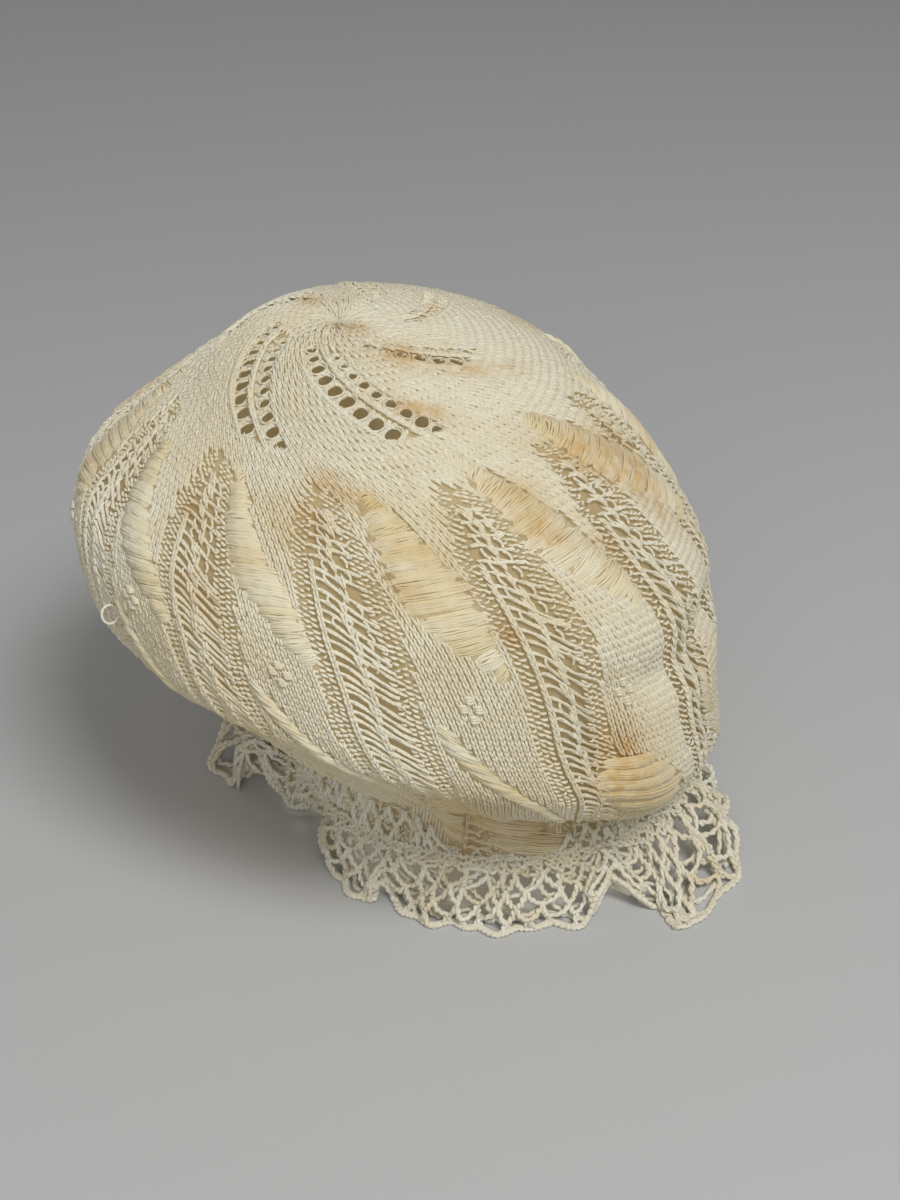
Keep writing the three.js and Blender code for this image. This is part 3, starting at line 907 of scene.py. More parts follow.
@dataclass(frozen=True)
class CottonFinish:
    """Aged cotton yarn: its colours, twist and nap."""

    name: str
    base: Triple
    deep: Triple
    # The colour of the yellowing, and of the painted shade low on the front
    yellow: Triple = (0.72, 0.55, 0.24)
    tan: Triple = (0.68, 0.46, 0.17)
    roughness: float = 0.82
    sheen: float = 0.25
    plies: float = 2.0
    twist: float = 0.9
    twist_depth: float = 0.5
    glow: float = 0.18
    fibre_depth: float = 0.35
    blotch: float = 0.35
    patch_scale: float = 38.0
    mottle_scale: float = 420.0
    broken_scale: float = 330.0
    fibre_scale: float = 5200.0
    bump_strength: float = 0.6
    bump_distance: float = 0.00012

    def make(self) -> bpy.types.Material:
        """Build the material.

        Returns:
            The material.
        """
        graph = Graph(self.name)
        patches = graph.noise(self.patch_scale, 3.0).ease(0.42, 0.7)
        mottle = graph.noise(self.mottle_scale, 4.0, 0.6)
        broken = graph.noise(self.broken_scale, 3.0, 0.6).ease(0.3, 0.72)
        stain = (graph.mark("stain") * (broken * 0.9 + 0.3) * (mottle * 0.8 + 0.6)).clamp()
        # The yellow mark is real yellowing, and low on the front painted shade as well
        yellow = (graph.mark("yellow") + patches * self.blotch).clamp() * (mottle * 0.8 + 0.5)
        colour = graph.mix(graph.mark("tint").clamp(), self.base, self.deep)
        colour = graph.mix((yellow * 0.75).clamp(), colour, self.yellow)
        colour = graph.mix(stain, colour, self.tan)
        place = graph.out("ShaderNodeUVMap", {"uv_map": "thread"})
        thread = graph.node("ShaderNodeSeparateXYZ", {}, {0: place})
        around = Signal(graph, thread.outputs[0])
        along = Signal(graph, thread.outputs[1])
        ply = ((around * self.plies + along * self.twist) * (2 * math.pi)).math("SINE")
        fibres = graph.noise(self.fibre_scale, 3.0, 0.7)
        height = ply * self.twist_depth + fibres * self.fibre_depth
        shader = graph.surface(
            {
                "Base Color": colour,
                "Roughness": self.roughness,
                "Sheen Weight": self.sheen,
                "Sheen Roughness": 0.5,
                "Specular IOR Level": 0.25,
                "Normal": graph.relief(height, self.bump_strength, self.bump_distance),
            }
        )
        graph.finish(shader, colour, self.glow)
        return graph.material


@dataclass(frozen=True)
class ClothGapShadeFinish:
    """The inner face of the fabric that shows between the threads; its dark khaki colours are painted
    shade of the gaps between the threads.
    """

    name: str = "cloth_painted_gap_shade"
    # shade and light: the painted shade of the gaps, darkest in the openwork and lighter where the
    # cloth's tint mark is higher
    shade: Triple = (0.53, 0.44, 0.26)
    light: Triple = (0.74, 0.65, 0.45)
    tan: Triple = (0.46, 0.27, 0.09)
    roughness: float = 0.95
    glow: float = 0.55
    mottle_scale: float = 900.0
    pile_scale: float = 3200.0
    bump_strength: float = 0.5
    bump_distance: float = 0.0002

    def make(self) -> bpy.types.Material:
        """Build the material.

        Returns:
            The material.
        """
        graph = Graph(self.name)
        mottle = graph.noise(self.mottle_scale, 4.0, 0.65)
        colour = graph.mix(graph.mark("tint").clamp(), self.shade, self.light)
        colour = graph.mix((mottle - 0.4) * 0.6, colour, self.light)
        colour = graph.mix((graph.mark("stain") * (mottle + 0.3)).clamp(), colour, self.tan)
        pile = graph.noise(self.pile_scale, 3.0)
        shader = graph.surface(
            {
                "Base Color": colour,
                "Roughness": self.roughness,
                "Specular IOR Level": 0.15,
                "Normal": graph.relief(pile, self.bump_strength, self.bump_distance),
            }
        )
        graph.finish(shader, colour, self.glow)
        return graph.material


KNIT_FINISH = CottonFinish("aged_knit_cotton", (0.90, 0.865, 0.72), (0.82, 0.76, 0.57))
FLOAT_FINISH = CottonFinish(
    "satin_floats", (0.90, 0.86, 0.69), (0.80, 0.70, 0.44), roughness=0.6, sheen=0.35,
    plies=1.0, twist=0.35, twist_depth=0.3, blotch=0.5,
)
LACE_FINISH = CottonFinish(
    "crochet_cotton", (0.95, 0.93, 0.82), (0.90, 0.83, 0.63),
    twist=0.7, twist_depth=0.7, glow=0.26, blotch=0.2,
)


def dress(skein: Skein, material: bpy.types.Material) -> bpy.types.Object:
    """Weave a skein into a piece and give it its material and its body.

    Args:
        skein: The threads.
        material: Their finish.

    Returns:
        The piece.
    """
    piece = skein.weave()
    piece.data.materials.append(material)
    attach(piece, "root")
    return piece


@dataclass(frozen=True)
class Eyelet:
    """One oval hole of the crown."""

    STEP = 0.005
    wale: float
    course: float
    half_across: float
    half_along: float
    wale_across: float
    course_across: float
    course_along: float

    @classmethod
    def on_form(
        cls, form: KnitForm, wale: float, course: float, half_across: float, half_along: float
    ) -> "Eyelet":
        """Fit an eyelet square to the wale line that it lies on.

        Args:
            form: The knitting that the eyelet lies on.
            wale: Its middle, in degrees.
            course: Its middle's course.
            half_across: Half its width in millimetres.
            half_along: Half its height in millimetres.

        Returns:
            The eyelet, with its axes in degrees and courses per millimetre.
        """
        wales = np.array([wale, wale + 1.0, wale])
        courses = np.array([course, course, course + cls.STEP])
        spots, _ = form.place(wales, courses, 0.0)
        per_degree = (spots[1] - spots[0]) / MM
        per_course = (spots[2] - spots[0]) / cls.STEP / MM
        slant = float(per_degree @ per_course / (per_course @ per_course))
        square = float(np.linalg.norm(per_degree - slant * per_course))
        return cls(
            wale, course, half_across, half_along,
            1 / square, -slant / square, 1 / float(np.linalg.norm(per_course)),
        )

    def reach(self, wale: np.ndarray, course: np.ndarray) -> Pair:
        """Tell where places lie from the eyelet's middle.

        Args:
            wale: Degrees round the knitting.
            course: From the crown, 0, to the seam.

        Returns:
            How far across and along they lie, as shares of the half sizes.
        """
        across = angle_between(wale, self.wale) / self.wale_across
        along = (course - self.course - across * self.course_across) / self.course_along
        return across / self.half_across, along / self.half_along

    def spot(self, across: np.ndarray, along: np.ndarray, margin: float = 0.0) -> Pair:
        """Find a place round the eyelet on the knitting.

        Args:
            across: Shares of the half width from the middle.
            along: Shares of the half height from the middle.
            margin: Millimetres added to both half sizes.

        Returns:
            The place's wale and course.
        """
        across = across * (self.half_across + margin)
        along = along * (self.half_along + margin)
        wale = self.wale + across * self.wale_across
        return wale, self.course + across * self.course_across + along * self.course_along


class Band:
    """One band of floats on one solid panel."""

    def __init__(self, rows: Sequence[Sequence[float]], shift: float) -> None:
        """Read the band's chart.

        Args:
            rows: Course, left and right edge in degrees from the panel's middle.
            shift: How far the band sits round from its chart, in degrees.
        """
        self.start, self.end = rows[0][0], rows[-1][0]
        self.left, self.right = Curve(rows, 1), Curve(rows, 2)
        self.shift = shift

    def edges(self, course: Places) -> Pair:
        """Left and right edge at a course, in degrees from the panel's middle."""
        course = np.clip(course, self.start, self.end)
        return self.left(course) + self.shift, self.right(course) + self.shift


class Wing:
    """One curved wing of eyelets on the crown."""

    # Room for the holes and their yarn, in millimetres beside each line of holes
    MARGIN = 0.55
    LEFT_REACH = 1.6
    RIGHT_REACH = 1.1
    # The courses over which the eyelets grow to full size
    GROWTH = (0.075, 0.15)
    # How far before the first and past the last eyelet the plain knitting opens and closes
    OPENS = (-0.01, -0.003)
    LEFT_CLOSES = (0.007, 0.009)
    RIGHT_CLOSES = (0.0115, 0.0135)

    def __init__(self, rows: Sequence[Sequence[float]]) -> None:
        """Read the wing's chart.

        Args:
            rows: Course, and the left column, rib and right column in degrees.
        """
        self.start = rows[0][0]
        self.courses = np.arange(self.start, rows[-1][0] + 0.001, EYELET_STEP)
        self.end = float(self.courses[-1])
        self.left, self.rib, self.right = (self.line(rows, column) for column in (1, 2, 3))

    def line(self, rows: Sequence[Sequence[float]], column: int) -> Callable[[Any], np.ndarray]:
        """One of the wing's lines, held level beyond its ends."""
        curve = Curve(rows, column)
        return lambda course: curve(np.clip(course, self.start, self.end))

    def edges(self, course: float, degree: float) -> tuple[float, float]:
        """Find where the plain knitting stops beside the wing, which closes beyond its ends.

        Args:
            course: From the crown, 0, to the seam.
            degree: Millimetres in a degree at that course.

        Returns:
            The wing's left and right edge, in degrees round the knitting.
        """
        room = 0.5 + 0.5 * float(smooth(course, *self.GROWTH))
        rib = float(self.rib(course))
        left = float(self.left(course)) - (room * self.LEFT_REACH + self.MARGIN) / degree
        right = float(self.right(course)) + (room * self.RIGHT_REACH + self.MARGIN) / degree
        opened = self.passed(course, self.start, self.OPENS)
        left_open = opened * (1 - self.passed(course, self.end, self.LEFT_CLOSES))
        right_open = opened * (1 - self.passed(course, self.end, self.RIGHT_CLOSES))
        return rib + (left - rib) * left_open, rib + (right - rib) * right_open

    @staticmethod
    def passed(course: float, mark: float, span: tuple[float, float]) -> float:
        """Ease from 0 to 1 as the course passes a span measured from a mark."""
        return float(smooth(course, mark + span[0], mark + span[1]))


@dataclass
class CapBody:
    """The knitted cap: its fabric, stitches, openwork, floats and eyelet crown."""

    # out, up, height: one leg of a stitch, from the foot of its V to its top, as shares of the
    # stitch's width and row, and in millimetres
    LEG = ((0.04, 0.86, 0.34), (0.17, 0.32, 0.88), (0.28, -0.36, 0.76), (0.345, -0.98, 0.16))
    LEG_STOUTNESS = 0.19
    LEG_PROUD = 0.42
    # Courses of the cloth's rows: at the centre, and between the eyelets
    CENTRE_ROWS = (0.002, 0.01, 0.02, 0.035, 0.05, 0.062)
    EYELET_ROWS = (0.07, 0.25, 0.0029)
    CLOTH_FROM = 0.2535
    # margin, lift: the yarns that go round each eyelet
    EYELET_YARNS = ((0.04, 0.4), (0.3, 0.62))
    # start, end, pitch in mm: where the slanting threads of the openwork begin at the left; the
    # middle ones go on from the upper ones
    UPPER_THREADS = (0.3, 0.4, 2.6)
    MIDDLE_THREADS = (0.78, 2.25)
    LOWER_THREADS = (0.785, 1.19, 1.5)
    THREAD_STATIONS = 7
    STRAND_STATIONS = 7
    # Where the openwork's middle chain lies across it, its stitches' width and their rows, in mm
    MIDDLE_SHARE = 0.47
    MIDDLE_WIDTH = 1.5
    MIDDLE_ROW = 2.1

    form: KnitForm
    stains: StainChart
    slot: str = "knit_cotton"
    left_eyelet: tuple[float, float] = (1.75, 1.56)
    right_eyelet: tuple[float, float] = (1.15, 1.2)
    right_growth: tuple[float, float] = (0.45, 0.3)
    cloth_columns: int = 540
    cloth_row: float = 3.1
    cloth_girth: float = 420.0
    crown_width: float = STITCH_WIDTH - 0.1
    least_width: float = 1.2
    bump_pitch: float = 1.35
    bump_width: float = 1.45
    bump_height: float = 0.5
    bump_radius: float = 0.3
    thread_radius: float = 0.27
    thread_swing: float = 0.19
    tie_radius: float = 0.3
    float_pitch: float = 2.7
    strands: int = 11
    strand_radius: float = 0.225
    yarn_radius: float = 0.28
    spokes: int = 13
    wing_row: float = 1.75
    rib_width: float = 1.75
    cable_turns: int = 14
    cable_swing: float = 0.4
    cable_cord: float = 0.33
    loop_place: tuple[float, float] = (213.0, 0.622)
    loop_size: tuple[float, float] = (1.7, 1.9)
    loop_cord: float = 0.26
    pieces: list[bpy.types.Object] = field(default_factory=list)
    rng: np.random.Generator = field(default_factory=lambda: np.random.default_rng(SEED))

    def __post_init__(self) -> None:
        """Read the charts of the wings, the openwork's edges and the float bands."""
        self.open_left = Curve(OPENWORK_EDGES, 1)
        self.open_right = Curve(OPENWORK_EDGES, 2)
        self.bands = [
            [
                Band(FRONT_BANDS.get((number, panel), rows), shift)
                for panel, shift in enumerate(BAND_SHIFT)
            ]
            for number, rows in enumerate(FLOAT_BANDS)
        ]
        self.wings = [Wing(rows) for rows in WING_LINES]

    def openwork_edges(self, number: int, course: Places) -> Pair:
        """Find the edges of an openwork panel, which closes to a point at its top.

        Args:
            number: The panel's number, from the one at 0 degrees on.
            course: From the crown, 0, to the seam.

        Returns:
            Its left and right edge, in degrees round the knitting.
        """
        middle = REPEAT_STEP * number + OPENWORK_SHIFT[number % REPEATS] * smooth(course, 0.24, 0.3)
        course = np.clip(course, OPENWORK_EDGES[0][0], SEAM_LEVEL)
        left, right = self.open_left(course), self.open_right(course)
        closed = 1 - smooth(course, 0.262, 0.275)
        return middle + left + closed * (right - left) / 2, middle + right - closed * (right - left) / 2

    def solid_edges(self, panel: int, course: Places) -> Pair:
        """Find the edges of a solid panel.

        Args:
            panel: The panel's number.
            course: From the crown, 0, to the seam.

        Returns:
            Its left and right edge, in degrees from its middle.
        """
        middle = REPEAT_STEP * (panel + 0.5)
        return (
            self.openwork_edges(panel, course)[1] - middle,
            self.openwork_edges(panel + 1, course)[0] - middle,
        )

    def in_floats(self, wale: np.ndarray, course: np.ndarray, margin: float = 0.0) -> np.ndarray:
        """Tell which places on the knitting lie under a band of floats.

        Args:
            wale: Degrees round the knitting.
            course: From the crown, 0, to the seam.
            margin: Degrees added at each side of the bands.

        Returns:
            True for each place under a band.
        """
        inside = np.zeros(np.shape(course), dtype=bool)
        for panel in range(REPEATS):
            from_middle = angle_between(wale, REPEAT_STEP * (panel + 0.5))
            for number in range(len(self.bands)):
                band = self.bands[number][panel]
                left, right = band.edges(course)
                within = (course > band.start) & (course < band.end)
                inside |= within & (from_middle > left - margin) & (from_middle < right + margin)
        return inside

    def marks(self, wale: np.ndarray, course: np.ndarray, tint: Places) -> dict[str, Places]:
        """Read the marks that threads carry.

        Args:
            wale: Degrees round the knitting.
            course: From the crown, 0, to the seam.
            tint: How far the yarn goes to its deeper colour, from 0 to 1.

        Returns:
            Stain, yellow and tint by name.
        """
        return {
            "stain": self.stains.read(wale, course, TAN_STAINS),
            "yellow": self.stains.read(wale, course, YELLOW_STAINS_AND_SHADE),
            "tint": tint,
        }

    def tones(self, middle: float, spread: float, places: np.ndarray) -> np.ndarray:
        """Draw a tint from 0 to 1 for each thread, and give it to all the thread's stations."""
        tint = np.clip(self.rng.normal(middle, spread, (len(places), 1)), 0, 1)
        return tint + np.zeros_like(places)

    def build(self) -> None:
        """Make every piece of the knitting."""
        self.holes = self.eyelets()
        self.build_cloth()
        self.build_stitches()
        self.build_openwork()
        self.build_floats()
        self.build_crown()
        self.build_small()

    def eyelets(self) -> list[Eyelet]:
        """Place every eyelet of the crown, in two columns beside the rib of each wing.

        Returns:
            The eyelets.
        """
        holes = []
        for wing in self.wings:
            for course in wing.courses:
                swell = float(smooth(course, *wing.GROWTH))
                grown = float(smooth(course, wing.end - 0.06, wing.end))
                right = [size + more * grown for size, more in zip(self.right_eyelet, self.right_growth)]
                for column, (across, along) in ((wing.left, self.left_eyelet), (wing.right, right)):
                    at = course + (0.35 * EYELET_STEP if column is wing.right else 0.0)
                    size = (0.55 + 0.45 * swell) * float(self.rng.normal(1.0, 0.05))
                    room = abs(float(column(at) - wing.rib(at))) * float(self.form.degree(at))
                    half = min(across * size, room * 0.62)
                    tall = along * (0.7 + 0.3 * swell)
                    holes.append(Eyelet.on_form(self.form, float(column(at)), at, half, tall))
        return holes

    def build_cloth(self) -> None:
        """Make the thin fabric behind the threads, open at the crown's eyelets, coloured as painted
        shade of the gaps.
        """
        columns = self.cloth_columns
        courses = np.concatenate(
            [
                self.CENTRE_ROWS,
                np.arange(*self.EYELET_ROWS),
                self.form.rows(self.CLOTH_FROM, SEAM_LEVEL - 0.004, self.cloth_row),
                [SEAM_LEVEL],
            ]
        )
        rows = len(courses)
        wale = np.broadcast_to(np.arange(columns)[:, None] * 360.0 / columns, (columns, rows)).copy()
        course = np.broadcast_to(courses[None, :], wale.shape).copy()
        inside = np.zeros(wale.shape, dtype=bool)
        for eyelet in self.holes:
            x, y = eyelet.reach(wale, course)
            reach = np.hypot(x, y)
            push = (reach > 0.6) & (reach < 1.0)
            inside |= reach <= 0.6
            scale = 1.0 / np.maximum(reach, 0.1)
            rim_wale, rim_course = eyelet.spot(x * scale, y * scale)
            wale = np.where(push, rim_wale, wale)
            course = np.where(push, rim_course, course)
        opened = np.zeros(wale.shape)
        for number in range(REPEATS):
            left, right = self.openwork_edges(number, course)
            from_middle = np.abs(angle_between(wale, (left + right) / 2))
            opened = np.maximum(opened, 1 - smooth(from_middle - (right - left) / 2, -2.6, -0.8))
        opened = opened * smooth(course, 0.285, 0.31)
        height = 0.1 - (0.55 - 0.35 * smooth(course, 0.74, 0.84)) * opened
        height += 0.75 * self.in_floats(wale, course)
        height -= pucker(course)
        points, _ = self.form.place(wale, course, height)
        # Painted shade: the cloth is darkest in the openwork and lighter in the solid panels, below
        # course 0.74 and under the floats
        tint = 0.1 + 0.25 * (1 - opened) + 0.35 * smooth(course, 0.74, 0.84)
        tint = tint + 0.5 * self.in_floats(wale, course)
        skein = Skein("knit_cloth_gap_shade")
        index = np.arange(columns * rows).reshape(columns, rows)
        following = np.roll(index, -1, axis=0)
        quads = np.stack([index[:, :-1], index[:, 1:], following[:, 1:], following[:, :-1]], axis=-1)
        hole = inside | np.roll(inside, -1, axis=0)
        hole = hole[:, :-1] | hole[:, 1:]
        quads = quads[~hole]
        across = wale / 360.0 * self.cloth_girth
        flat = np.stack([across, self.form.length_at(course)], axis=-1).reshape(-1, 2)
        marks = self.marks(wale, course, tint)
        marks = {key: np.broadcast_to(value, wale.shape).ravel() for key, value in marks.items()}
        skein.add(points.reshape(-1, 3), quads, flat[quads], marks)
        centre, _ = self.form.place(np.zeros(1), np.zeros(1) + 0.001, 0.1 - PUCKER_DEPTH)
        rim = index[:, 0]
        fan = np.stack([np.full(columns, columns * rows), rim, np.roll(rim, -1)], axis=-1)
        skein.corners.append(fan.ravel())
        skein.sizes.append(np.full(columns, 3))
        skein.coordinates.append(np.zeros((columns * 3, 2)))
        skein.mark(centre.reshape(1, 3), {})
        piece = dress(skein, ClothGapShadeFinish().make())
        self.drop_loose(piece)
        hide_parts("cap_body")
        self.pieces.append(piece)

    @staticmethod
    def drop_loose(piece: bpy.types.Object) -> None:
        """Take out vertices that no face uses.

        Args:
            piece: The piece to clean.
        """
        work = bmesh.new()
        work.from_mesh(piece.data)
        loose = [vertex for vertex in work.verts if not vertex.link_faces]
        bmesh.ops.delete(work, geom=loose, context="VERTS")
        work.to_mesh(piece.data)
        work.free()

    def stitch_places(self) -> tuple[np.ndarray, np.ndarray, np.ndarray, np.ndarray]:
        """Place every plain stitch.

        Returns:
            Each stitch's wale, course, width in degrees and row height in courses.
        """
        places = []
        for course in self.form.plain_rows(0.018, CROWN_END):
            degree = float(self.form.degree(course))
            width = self.crown_width / degree
            edges = [wing.edges(course, degree) for wing in self.wings]
            for wing, (_, right) in enumerate(edges):
                left = edges[(wing + 1) % WINGS][0] + (360.0 if wing == WINGS - 1 else 0.0)
                count = max(int(round((left - right) / width)), 1)
                step = (left - right) / count
                wales = right + (np.arange(count) + 0.5) * step
                places.append(np.stack([wales, np.full(count, course), np.full(count, step)], axis=-1))
        for course in self.form.plain_rows(CROWN_END + 0.006, SEAM_LEVEL - 0.006):
            width = max(STITCH_WIDTH / float(self.form.degree(course)), self.least_width)
            for panel in range(REPEATS):
                left, right = self.solid_edges(panel, course)
                offsets = 6.0 + (np.arange(-18, 16) + 0.5) * width
                offsets = offsets[(offsets > left + 0.1) & (offsets < right - 0.1)]
                wales = REPEAT_STEP * (panel + 0.5) + offsets
                wales = wales[~self.in_floats(wales, np.full(wales.shape, course), 0.15)]
                places.append(
                    np.stack([wales, np.full(len(wales), course), np.full(len(wales), width)], axis=-1)
                )
        wale, course, width = np.concatenate(places).T
        return wale, course, width, self.below(course, self.form.row_pitch(course)) - course

    def below(self, course: Places, distance: Places) -> np.ndarray:
        """The course that lies some millimetres below another."""
        return self.form.course_at(self.form.length_at(course) + distance)

    def build_stitches(self) -> None:
        """Make the plain knitting: each stitch is a V of two slanted lobes."""
        wale, course, width, row = self.stitch_places()
        half = len(wale) // 2
        order = np.argsort(np.mod(wale - 180.0, 360.0))
        self.material = KNIT_FINISH.make()
        halves = {"knit_stitches_front": order[half:], "knit_stitches_back": order[:half]}
        for name, chosen in halves.items():
            skein = Skein(name)
            for side in (-1.0, 1.0):
                self.lay_legs(skein, wale[chosen], course[chosen], width[chosen], row[chosen], side)
            self.pieces.append(dress(skein, self.material))

    def lay_legs(
        self, skein: Skein, wale: np.ndarray, course: np.ndarray, width: np.ndarray, row: np.ndarray,
        side: float, lift: float = 0.0,
    ) -> None:
        """Lay one leg of each stitch, from the foot of its V to its top.

        Args:
            skein: Where the legs go.
            wale: The stitches' middles, in degrees.
            course: Their courses.
            width: Their widths in degrees.
            row: Their row heights in courses.
            side: -1 for the left leg, 1 for the right one.
            lift: Millimetres added to the height.
        """
        count = len(wale)
        leg_out, leg_up, leg_height = np.array(self.LEG).T
        wobble = self.rng.normal(0.0, 0.05, (4, count, 1))
        out = leg_out[None, :] + wobble[0] * 0.5
        up = leg_up[None, :] + wobble[1] * 1.4
        u = wale[:, None] + side * out * width[:, None]
        c = course[:, None] + up * row[:, None]
        height = leg_height[None, :] + wobble[2] * 1.4
        height = height + lift - pucker(c)
        points, normals = self.form.place(u, np.maximum(c, 0.004), height)
        size = self.form.degree(course)[:, None] * width[:, None]
        across = self.LEG_STOUTNESS * size * (1 + 1.6 * wobble[3])
        skein.lay(
            points, normals, across, np.minimum(across * 1.5, self.LEG_PROUD), Section.LOBE, True,
            **self.marks(u, c, self.tones(0.3, 0.22, u)),
        )

    def lay_bumps(self, skein: Skein, wale: np.ndarray, course: np.ndarray) -> None:
        """Lay short crossways lobes, as purl bumps show.

        Args:
            skein: Where the bumps go.
            wale: Their middles, in degrees.
            course: Their courses.
        """
        count = len(wale)
        wobble = self.rng.normal(0.0, 1.0, (4, count, 1))
        row = self.below(course, ROW_PITCH) - course
        t = np.array([-1.0, -0.4, 0.4, 1.0])[None, :]
        u = wale[:, None] + t * self.bump_width / 2 * (1 + 0.15 * wobble[0])
        tilt = (0.12 + 0.2 * wobble[1]) * t
        c = course[:, None] + row[:, None] * (0.25 * (1 - t * t) + tilt + 0.06 * wobble[2])
        height = self.bump_height + np.array([-0.35, 0.0, 0.0, -0.35])[None, :] + 0.06 * wobble[3]
        points, normals = self.form.place(u, c, height)
        skein.lay(
            points, normals, self.bump_radius, self.bump_radius * 1.05, Section.LOBE, True,
            **self.marks(u, c, self.tones(0.25, 0.22, u)),
        )

    def build_openwork(self) -> None:
        """Make the openwork between the solid panels: edge bumps, slanting threads and their ties."""
        bumps = Skein("openwork_bumps")
        threads = Skein("openwork_threads")
        rows = self.form.rows(OPENWORK_FROM, SEAM_LEVEL - 0.008, self.bump_pitch)
        for number in range(REPEATS):
            for inward, side, phase in EDGE_BUMPS:
                course = self.below(rows, phase * self.bump_pitch)
                left, right = self.openwork_edges(number, course)
                wale = left + inward if side > 0 else right - inward
                kept = (right - left) / 2 > inward - 0.3
                self.lay_bumps(bumps, wale[kept], course[kept])
            self.lay_lattice(threads, number)
            self.lay_rib_chain(threads, number)
        for skein in (bumps, threads):
            self.pieces.append(dress(skein, self.material))

    def thread_span(self, number: int, course: np.ndarray) -> Pair:
        """Find where the slanting threads start at the left and end at the right.

        Args:
            number: The openwork panel's number.
            course: From the crown, 0, to the seam.

        Returns:
            Both places, in degrees round the knitting.
        """
        left, right = self.openwork_edges(number, course)
        share = np.clip((right - left) / 16.5, 0.3, 1.0)
        return left + 4.4 * share, right - 3.6 * share

    @staticmethod
    def drop_at(course: np.ndarray) -> np.ndarray:
        """How far the slanting threads fall across the openwork, in millimetres."""
        steep = 1.6 + 5.2 * smooth(course, 0.33, 0.42) - 4.6 * smooth(course, 0.62, 0.8)
        return steep - 1.4 * smooth(course, 0.85, 0.95)

    def lay_lattice(self, skein: Skein, number: int) -> None:
        """Lay one panel's slanting threads in two halves, knotted where they meet.

        Args:
            skein: Where the threads go.
            number: The openwork panel's number.
        """
        upper = self.form.rows(*self.UPPER_THREADS)
        middle = self.form.rows(upper[-1], *self.MIDDLE_THREADS)[1:]
        lower = self.form.rows(*self.LOWER_THREADS)
        course = np.concatenate([upper, middle, lower])
        for begin, finish, early in THREAD_HALVES:
            self.lay_threads(skein, number, course, begin, finish, early)
        open_rows = np.concatenate([upper, middle])
        self.lay_middle_chain(skein, number, open_rows)
        for share, bow, chance in TIES:
            early = 1 - smooth(open_rows, 0.38, 0.46)
            keep = self.rng.uniform(0, 1, len(open_rows)) < chance * (0.1 + 0.9 * early)
            self.lay_ties(skein, number, open_rows[keep], share, bow)

    def lay_middle_chain(self, skein: Skein, number: int, course: np.ndarray) -> None:
        """Lay the slanting stitches that knot each thread to the next down the middle.

        Args:
            skein: Where the stitches go.
            number: The openwork panel's number.
            course: Where each slanting thread starts at the left.
        """
        share = np.full((len(course), 1), self.MIDDLE_SHARE)
        wale, line = self.on_thread(number, course, share, self.drop_at(course)[:, None])
        wale, line = wale[:, 0], line[:, 0]
        row = self.below(line, self.MIDDLE_ROW) - line
        wale = wale + self.rng.normal(0.0, 0.4, len(wale))
        width = self.MIDDLE_WIDTH / self.form.degree(line)
        for side in (-1.0, 1.0):
            self.lay_legs(skein, wale, line, width, row, side, -0.05)

    def on_thread(self, number: int, course: np.ndarray, share: np.ndarray, drop: np.ndarray) -> Pair:
        """Find places along slanting threads.

        Args:
            number: The openwork panel's number.
            course: Where each thread starts at the left.
            share: How far along it the places lie, from 0 to 1.
            drop: How far the thread falls, in millimetres.

        Returns:
            The places' wales and courses.
        """
        fall = drop * (0.35 * share + 0.65 * smooth(share, 0.0, 1.0))
        line = self.below(course[:, None], fall)
        left_here, right_here = self.thread_span(number, line)
        return left_here + (right_here - left_here) * share, line

    def lay_threads(
        self, skein: Skein, number: int, course: np.ndarray, begin: float, finish: float, early: float
    ) -> None:
        """Lay slanting threads, each of two plies turned round each other.

        Args:
            skein: Where the threads go.
            number: The openwork panel's number.
            course: Where each thread starts at the left.
            begin: The share of its way across at which it starts.
            finish: The share at which it ends.
            early: How far it lies above the chart, in millimetres.
        """
        count = len(course)
        t = np.linspace(begin, finish, self.THREAD_STATIONS)[None, :]
        s = (t - begin) / (finish - begin)
        jitter = self.rng.normal(0.0, 1.0, (5, count, 1))
        drop = self.drop_at(course)[:, None] * (1 + 0.1 * jitter[1])
        start = self.form.course_at(self.form.length_at(course) - early + 0.15 * jitter[2][:, 0])
        u, line = self.on_thread(number, start, t + 0.02 * jitter[0], drop)
        wander = 0.16 * jitter[4] * np.sin(math.pi * s) - 0.3 * np.sin(math.pi * s)
        height = 0.4 + 0.3 * np.abs(2 * s - 1) ** 2 + 0.08 * jitter[3]
        tint = self.tones(0.15, 0.25, u)
        phase = self.rng.uniform(0, 2 * math.pi, (count, 1))
        for ply in (0.0, math.pi):
            spin = phase + ply + s * 5.0
            c = self.below(line, wander + self.thread_swing * np.cos(spin))
            points, normals = self.form.place(u, c, height + self.thread_swing * np.sin(spin))
            skein.lay(
                points, normals, self.thread_radius, self.thread_radius, Section.LOBE,
                **self.marks(u, c, tint),
            )

    def lay_ties(self, skein: Skein, number: int, course: np.ndarray, share: float, bow: float) -> None:
        """Lay the short uprights that tie each slanting thread to the next.

        Args:
            skein: Where the ties go.
            number: The openwork panel's number.
            course: The threads that carry a tie.
            share: Where it sits along the thread.
            bow: How far its middle curves to the right, in degrees.
        """
        count = len(course)
        jitter = self.rng.normal(0.0, 1.0, (2, count, 1))
        t = np.linspace(0.0, 1.0, 5)[None, :]
        place = share + 0.02 * jitter[0] + 0 * t
        u, line = self.on_thread(number, course, place, self.drop_at(course)[:, None])
        u = u + bow * np.sin(math.pi * t)
        c = self.below(line, 2.3 * t)
        points, normals = self.form.place(u, c, 0.35 + 0.3 * np.sin(math.pi * t) + 0.05 * jitter[1])
        skein.lay(
            points, normals, self.tie_radius, self.tie_radius, Section.ROUND5,
            **self.marks(u, c, self.tones(0.2, 0.25, u)),
        )

